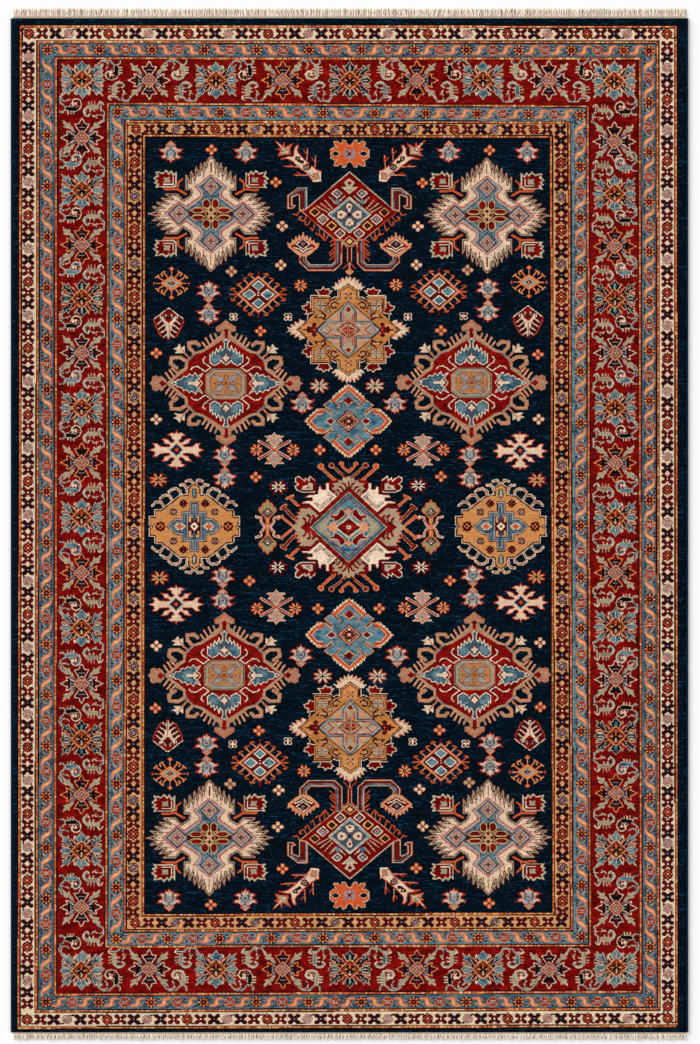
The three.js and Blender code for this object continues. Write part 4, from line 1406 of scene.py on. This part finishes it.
def yarn_material(name, fuzz, fibre, bump, sheen, across=(1, 1, 1), rough=.95):
    """Yarn colour from the mesh, mottled by two noises; a fibre bump; a wool or cotton sheen."""
    m, nt, p = principled(name)
    N = nt.nodes
    at = N.new("ShaderNodeAttribute")
    at.attribute_name = "yarn"
    tc = N.new("ShaderNodeTexCoord")
    mp = N.new("ShaderNodeMapping")
    mp.inputs["Scale"].default_value = across
    link(nt, tc.outputs["Object"], mp.inputs["Vector"])
    n1 = N.new("ShaderNodeTexNoise")
    n1.inputs["Scale"].default_value = fibre
    n1.inputs["Detail"].default_value = 3
    n1.inputs["Roughness"].default_value = .7
    link(nt, mp.outputs["Vector"], n1.inputs["Vector"])
    n2 = N.new("ShaderNodeTexNoise")
    n2.inputs["Scale"].default_value = fibre / 14
    n2.inputs["Detail"].default_value = 2
    link(nt, mp.outputs["Vector"], n2.inputs["Vector"])
    r1 = N.new("ShaderNodeMapRange")
    r1.inputs["From Min"].default_value, r1.inputs["From Max"].default_value = .28, .72
    r1.inputs["To Min"].default_value, r1.inputs["To Max"].default_value = 1 - fuzz, 1 + fuzz
    link(nt, n1.outputs["Fac"], r1.inputs["Value"])
    r2 = N.new("ShaderNodeMapRange")
    r2.inputs["From Min"].default_value, r2.inputs["From Max"].default_value = .3, .7
    r2.inputs["To Min"].default_value, r2.inputs["To Max"].default_value = 1 - fuzz * .4, 1 + fuzz * .4
    link(nt, n2.outputs["Fac"], r2.inputs["Value"])
    mu = N.new("ShaderNodeMath")
    mu.operation = 'MULTIPLY'
    link(nt, r1.outputs["Result"], mu.inputs[0])
    link(nt, r2.outputs["Result"], mu.inputs[1])
    vm = N.new("ShaderNodeVectorMath")
    vm.operation = 'SCALE'
    link(nt, at.outputs["Color"], vm.inputs[0])
    link(nt, mu.outputs["Value"], vm.inputs["Scale"])
    link(nt, vm.outputs["Vector"], p.inputs["Base Color"])
    bu = N.new("ShaderNodeBump")
    bu.inputs["Strength"].default_value = bump
    bu.inputs["Distance"].default_value = .0012
    link(nt, n1.outputs["Fac"], bu.inputs["Height"])
    link(nt, bu.outputs["Normal"], p.inputs["Normal"])
    p.inputs["Roughness"].default_value = rough
    p.inputs["Specular IOR Level"].default_value = .03
    p.inputs["Sheen Weight"].default_value = sheen
    p.inputs["Sheen Roughness"].default_value = .45
    return m


MATS = {s: yarn_material("wool_" + s, .18, 620, .35, .012, (1.0, 1.25, 1.0)) for s in
        ("pile_navy", "pile_gold", "pile_cream", "pile_slate", "pile_red", "pile_tan")}
MATS["foundation_cotton"] = yarn_material("cotton_foundation", .12, 900, .5, .03)
MATS["selvedge_wool"] = yarn_material("wool_overcasting", .2, 900, .5, .05, (1.6, .5, 1.0))
MATS["selvedge_warps"] = yarn_material("cotton_warps", .12, 1100, .5, .03)
MATS["end_cotton"] = yarn_material("cotton_ends", .10, 1100, .5, .04)
MATS["fringe_cotton"] = yarn_material("cotton_fringe", .10, 1300, .5, .05, (1, .45, 1))


def finish_piece(o, slot_name, *nodes):
    o.data.materials.append(MATS[slot_name])
    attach(o, "root")
    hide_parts(*nodes)


for k, (node, slot_name) in enumerate(PILE):
    o = pile_piece("wool_" + node, rects[k], rects[k + 1] if k + 1 < len(PILE) else None)
    finish_piece(o, slot_name, node)

# ------------------------------------------------------------------ foundation, seen from below
lo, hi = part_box("foundation_weave")
HX, HY = NX // 2, NY // 2
xs, ys = np.linspace(lo[0], hi[0], HX + 1), np.linspace(hi[1], lo[1], HY + 1)
gi, gj = np.meshgrid(np.arange(HX + 1), np.arange(HY + 1))
zb = .00004 + .00030 * np.random.default_rng(31).random((HY + 1, HX + 1)) * ((gi + gj) % 2)
under = np.stack([xs[gi], ys[gj], zb], 2).reshape(-1, 3)
fj, fi = [a.ravel() for a in np.mgrid[0:HY, 0:HX]]
ix = lambda j, i: j * (HX + 1) + i
q_under = np.stack([ix(fj, fi), ix(fj, fi + 1), ix(fj + 1, fi + 1), ix(fj + 1, fi)], 1)
back = KNOT[0:2 * HY:2, 0:2 * HX:2][fj, fi].copy()
cotton = linear((206, 190, 165))
w = (.16 + .2 * ((fi % 2) == 0) * 1.0)[:, None]
back[:, :3] = back[:, :3] * (1 - w) + cotton * w
i, j = loop_of(0, HX, 0, HY)
n0 = len(under)
rim = np.stack([xs[i], ys[j], np.full(len(i), hi[2])], 1)
i2, j2 = np.roll(i, -1), np.roll(j, -1)
t1, t2 = n0 + np.arange(len(i)), n0 + np.roll(np.arange(len(i)), -1)
q_rim = np.stack([t1, t2, ix(j2, i2), ix(j, i)], 1)
# the rim walls take the cotton darkened to 0.9: painted shade on the foundation's sides
rim_painted_shade = np.tile(np.append(cotton * .9, 1), (len(q_rim), 1))
c_top = np.array([np.append(cotton, 1)])
o = make("cotton_foundation_with_knot_backs", np.concatenate([under, rim]), np.concatenate([q_under, q_rim]), [t1[::-1]],
         np.concatenate([back, rim_painted_shade, c_top]), np.zeros(len(q_under) + len(q_rim) + 1, bool))
finish_piece(o, "foundation_cotton", "foundation_weave")


# ------------------------------------------------------------------ cords, wrapping and fringes
def tubes(P, R, n, roll=0.0, lobes=None, cap=True):
    """Tubes along many paths. P is (tubes, points, 3); R is (tubes, points) radii; lobes is (depth, count, turns)."""
    T, K, _ = P.shape
    D = np.gradient(P, axis=1)
    D /= np.linalg.norm(D, axis=2, keepdims=True)
    up = np.array([0, 0, 1.0])
    side = np.cross(D, up)
    side /= np.linalg.norm(side, axis=2, keepdims=True)
    top = np.cross(side, D)
    th = np.arange(n) * math.tau / n
    rad = np.repeat(R[:, :, None], n, 2)
    if lobes:
        depth, count, turns = lobes
        ph = turns * math.tau * np.linspace(0, 1, K)
        rad = rad * (1 + depth * np.cos(count * th[None, None, :] - ph[None, :, None]))
    V = P[:, :, None, :] + rad[..., None] * (np.cos(th)[None, None, :, None] * side[:, :, None, :] + np.sin(th)[None, None, :, None] * top[:, :, None, :])
    ids = np.arange(T * K * n).reshape(T, K, n)
    a, b = ids[:, :-1, :], ids[:, 1:, :]
    q = np.stack([a, np.roll(a, -1, 2), np.roll(b, -1, 2), b], 3).reshape(-1, 4)
    ngons = []
    if cap:
        for t in range(T):
            ngons.append(ids[t, 0][::-1])
            ngons.append(ids[t, -1])
    return V.reshape(-1, 3), q, ngons


def fringe(name, node, sign, seed):
    lo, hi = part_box(node)
    rnd = np.random.default_rng(seed)
    base = lo[1] if sign > 0 else hi[1]
    tip = hi[1] if sign > 0 else lo[1]
    length = abs(tip - base)
    K = 13
    t = np.linspace(0, 1, K)
    Vs, Qs, Ns, Cs, off, cn = [], [], [], [], 0, []
    # the lower layer's darker cotton stands for the strands beneath the top ones, and for painted shade in the gaps
    # between them
    for layer, (count, r0, col, z0) in enumerate(((420, .00130, (196, 168, 146), .0013), (520, .00150, (241, 225, 206), .0021))):
        x0 = np.linspace(lo[0] + .0022, hi[0] - .0022, count) + rnd.normal(0, .0005, count)
        if layer == 0:
            x0 = x0 + .0027
        clump = np.interp(x0, np.linspace(-1, 1, 90), np.cumsum(rnd.normal(0, .55, 90)) * .0)
        lean = rnd.normal(0, .0042, count) + .0034 * np.sin(x0 * 37 + rnd.random() * 6) * np.sin(x0 * 11.3 + 1) + clump
        lean = np.clip(lean, -.0105, .0105)
        bow = rnd.normal(0, .0009, count)
        L = length * (rnd.uniform(.9, 1.0, count) if layer else rnd.uniform(.78, .92, count)) + (.0016 if sign < 0 else .0015)
        z1 = rnd.uniform(.0006, .0030, count)
        P = np.zeros((count, K, 3))
        P[:, :, 0] = x0[:, None] + lean[:, None] * t ** 1.4 + bow[:, None] * np.sin(math.pi * t)
        P[:, :, 1] = base - sign * .0016 + sign * (L + .0016)[:, None] * t
        P[:, :, 2] = z0 + .0004 * np.sin(t * 9 + x0[:, None] * 800) + (z1 if layer else 0 * z1)[:, None] * np.sin(math.pi * t * .78)
        x_in = np.abs(P[:, :, 0]) > hi[0] - .0017
        P[:, :, 0] = np.clip(P[:, :, 0], lo[0] + .0017, hi[0] - .0017)
        R = r0 * (1 - .12 * t ** 3)[None, :] * rnd.uniform(.86, 1.1, count)[:, None]
        R[:, -1] *= .55
        R[:, 0] *= .8
        P[:, :, 2] = np.maximum(P[:, :, 2], R * 1.22 + .00005)
        V, q, ng = tubes(P, R, 8, lobes=(.16, 2, 2.5))
        tint = rnd.normal(1, .06, count)[:, None] * np.array([1, 1, 1]) + rnd.normal(0, .005, (count, 3))
        c = linear(np.clip(np.array(col) * tint, 0, 255))
        # brightness along each strand, raised towards the root: painted light that lifts the shade the pile casts on
        # the fringe's base
        along = np.interp(np.linspace(0, 1, K - 1), [0, .12, .3, 1], [1.35, 1.14, 1.02, 1.0] if sign > 0 else [1.5, 1.12, .92, .97])
        cc = c[:, None, None, :] * along[None, :, None, None] * np.ones((1, 1, 8, 1))
        Cs.append(np.concatenate([cc.reshape(-1, 3), np.ones((count * (K - 1) * 8, 1))], 1))
        cn.append(np.concatenate([np.repeat(c, 2, 0), np.ones((count * 2, 1))], 1))
        Vs.append(V)
        Qs.append(q + off)
        Ns += [g + off for g in ng]
        off += len(V)
    o = make(name, np.concatenate(Vs), np.concatenate(Qs), Ns, np.concatenate(Cs + cn))
    finish_piece(o, "fringe_cotton", node)


fringe("cotton_fringe_top", "fringe_top", 1, 41)
fringe("cotton_fringe_bottom", "fringe_bottom", -1, 42)


def twining(name, node, seed):
    lo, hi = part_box(node)
    rnd = np.random.default_rng(seed)
    K = 2600
    x = np.linspace(lo[0] + .0008, hi[0] - .0008, K)
    yc, zc = (lo[1] + hi[1]) / 2, (lo[2] + hi[2]) / 2
    ph = math.tau * x / .0072 + .4 * np.sin(x * 60)
    P = np.zeros((2, K, 3))
    for k in (0, 1):
        P[k, :, 0] = x
        P[k, :, 1] = yc + .00062 * np.cos(ph + math.pi * k)
        P[k, :, 2] = zc + .00056 * np.sin(ph + math.pi * k)
    R = np.full((2, K), .00068) * (1 + .08 * np.sin(x * 900))[None, :]
    V, q, ng = tubes(P, R, 7)
    # the bottom twining is made 20 lighter than the top: painted light against the shade the pile casts on it
    c = linear(np.array([[232, 220, 200], [220, 205, 182]]) + (0 if lo[1] > 0 else 20))
    cc = c[:, None, None, :] * (1 + .06 * rnd.standard_normal((2, K - 1, 1, 1))) * np.ones((1, 1, 7, 1))
    C = np.concatenate([cc.reshape(-1, 3), np.ones((2 * (K - 1) * 7, 1))], 1)
    C = np.concatenate([C, np.concatenate([np.repeat(c, 2, 0), np.ones((4, 1))], 1)])
    finish_piece(make(name, V, q, ng, C), "end_cotton", node)


twining("cotton_end_twining_top", "end_twining_top", 51)
twining("cotton_end_twining_bottom", "end_twining_bottom", 52)


def kilim(name, node, seed):
    """A narrow plain-weave strip: wefts over and under the warps, one ripple a warp."""
    lo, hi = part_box(node)
    rnd = np.random.default_rng(seed)
    K, M = 1700, 5
    x = np.linspace(lo[0], hi[0], K)
    yy = np.linspace(lo[1], hi[1], M + 1)
    g = np.arange(K)[:, None] + np.arange(M + 1)[None, :]
    zt = hi[2] - .00042 * (g % 2) - .00008 * rnd.random((K, M + 1))
    zt[:, 0] -= .0003
    zt[:, -1] -= .0003
    X = np.repeat(x[:, None], M + 1, 1)
    Y = np.repeat(yy[None, :], K, 0)
    top = np.stack([X, Y, zt], 2).reshape(-1, 3)
    bot = np.stack([x, np.full(K, yy[0]), np.full(K, lo[2] + .00002)], 1), np.stack([x, np.full(K, yy[-1]), np.full(K, lo[2] + .00002)], 1)
    V = np.concatenate([top, bot[0], bot[1]])
    ix = lambda k, m: k * (M + 1) + m
    k, m = [a.ravel() for a in np.mgrid[0:K - 1, 0:M]]
    q = [np.stack([ix(k, m), ix(k + 1, m), ix(k + 1, m + 1), ix(k, m + 1)], 1)]
    k = np.arange(K - 1)
    b0, b1 = len(top), len(top) + K
    q.append(np.stack([ix(k, 0), b0 + k, b0 + k + 1, ix(k + 1, 0)], 1))
    q.append(np.stack([ix(k + 1, M), b1 + k + 1, b1 + k, ix(k, M)], 1))
    q.append(np.stack([b0 + k, b1 + k, b1 + k + 1, b0 + k + 1], 1))
    q = np.concatenate(q)
    ends = [np.concatenate([ix(0, np.arange(M + 1))[::-1], [b0, b1]]), np.concatenate([ix(K - 1, np.arange(M + 1)), [b1 + K - 1, b0 + K - 1]])]
    # the bottom strip is lighter than the top one: painted light against the shade the pile casts on it
    c = linear((222, 206, 184) if lo[1] > 0 else (250, 236, 214))[None, :] * (1 + .08 * rnd.standard_normal((len(q) + 2, 1))).clip(.75, 1.2)
    finish_piece(make(name, V, q, ends, np.concatenate([c, np.ones((len(c), 1))], 1)), "end_cotton", node)


kilim("cotton_kilim_end_top", "kilim_end_top", 61)
kilim("cotton_kilim_end_bottom", "kilim_end_bottom", 62)


def overcast(name, node, side, seed):
    """Wool wrapped round the edge warps: one ridge a turn, slanting."""
    lo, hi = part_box(node)
    rnd = np.random.default_rng(seed)
    n, pitch = 14, .0030
    K = 3900
    y = np.linspace(lo[1] + .0002, hi[1] - .0002, K)
    xc, zc = (lo[0] + hi[0]) / 2, (lo[2] + hi[2]) / 2
    r = min(hi[0] - lo[0], hi[2] - lo[2]) / 2
    wob = blur(rnd.standard_normal((1, K)), 9, 1)[0]
    wob /= np.abs(wob).max()
    th = np.arange(n) * math.tau / n
    ph = math.tau * y / pitch + 1.2 * wob
    ridge = np.abs(np.sin(ph[:, None] / 2 + side * th[None, :] * .5))
    rad = r * (.90 + .10 * ridge ** .6) * (1 + .012 * wob[:, None])
    V = np.stack([xc + rad * np.cos(th), np.repeat(y[:, None], n, 1), zc + rad * np.sin(th)], 2)
    ids = np.arange(K * n).reshape(K, n)
    a, b = ids[:-1], ids[1:]
    q = np.stack([a, b, np.roll(b, -1, 1), np.roll(a, -1, 1)], 2).reshape(-1, 4)
    ends = [ids[0], ids[-1][::-1]]
    turn = np.floor(ph[:-1, None] / math.tau + side * th[None, :] / math.tau).astype(int)
    turn -= turn.min()
    turn_tone = 1 + .16 * rnd.standard_normal(turn.max() + 1)
    # each turn gets a random tone; the ridge factor darkens the grooves between turns: painted shade
    c = linear((15, 44, 66))[None, None, :] * turn_tone[turn][..., None].clip(.6, 1.5) * (.55 + .55 * ridge[:-1, :, None] ** .8)
    c = np.concatenate([c.reshape(-1, 3), np.tile(linear((15, 44, 66)), (2, 1))])
    finish_piece(make(name, V.reshape(-1, 3), q, ends, np.concatenate([c, np.ones((len(c), 1))], 1)), "selvedge_wool", node)


overcast("wool_overcasting_left", "selvedge_overcast_left", 1, 71)
overcast("wool_overcasting_right", "selvedge_overcast_right", -1, 72)

# the warps inside the overcasting stay as the frame has them, in undyed cotton
core, nt, p = principled("cotton_core_warps")
wv = nt.nodes.new("ShaderNodeTexNoise")
wv.inputs["Scale"].default_value = 700
cr = nt.nodes.new("ShaderNodeValToRGB")
cr.color_ramp.elements[0].color = (.50, .42, .32, 1)
cr.color_ramp.elements[1].color = (.72, .64, .52, 1)
tc = nt.nodes.new("ShaderNodeTexCoord")
link(nt, tc.outputs["Object"], wv.inputs["Vector"])
link(nt, wv.outputs["Fac"], cr.inputs["Fac"])
link(nt, cr.outputs["Color"], p.inputs["Base Color"])
p.inputs["Roughness"].default_value = .95
for name in ("selvedge_core_left", "selvedge_core_right"):
    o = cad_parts[name]
    o.data.materials.clear()
    o.data.materials.append(core)

# ------------------------------------------------------------------ floor, light and camera
floor_me = bpy.data.meshes.new("floor")
S = 40.0
floor_me.from_pydata([(-S, -S, -.0001), (S, -S, -.0001), (S, S, -.0001), (-S, S, -.0001)], [], [(0, 1, 2, 3)])
floor = bpy.data.objects.new("floor", floor_me)
scene.collection.objects.link(floor)
fm, nt, p = principled("floor_pale")
p.inputs["Base Color"].default_value = (.93, .93, .93, 1)
p.inputs["Roughness"].default_value = 1.0
p.inputs["Specular IOR Level"].default_value = 0
floor_me.materials.append(fm)

world = bpy.data.worlds.new("studio")
scene.world = world
world.use_nodes = True
bg = world.node_tree.nodes["Background"]
bg.inputs["Color"].default_value = (1, 1, 1, 1)
bg.inputs["Strength"].default_value = .72

sun = bpy.data.lights.new("softbox", 'SUN')
sun.energy = 3.1
sun.angle = math.radians(30)
sun_o = bpy.data.objects.new("softbox", sun)
sun_o.rotation_mode = 'QUATERNION'
sun_o.rotation_quaternion = Vector((2.1, -1.8, -1.0)).to_track_quat('-Z', 'Y')
scene.collection.objects.link(sun_o)

cam = bpy.data.cameras.new("camera")
cam.type = 'PERSP'
cam.sensor_fit = 'VERTICAL'
cam.sensor_height = 36
cam.sensor_width = 36
DIST = 22.0
cam.lens = 36 * DIST / (1044 * PX) * 1.0006
cam.clip_start, cam.clip_end = 1, 200
cam_o = bpy.data.objects.new("camera", cam)
cam_o.location = ((350 - 349.625 + .12) * PX, -.005 + (525.275 - 522) * PX, DIST + .009)
cam_o.rotation_euler = (0, 0, 0)
scene.collection.objects.link(cam_o)
scene.camera = cam_o
scene.view_settings.view_transform = 'Standard'
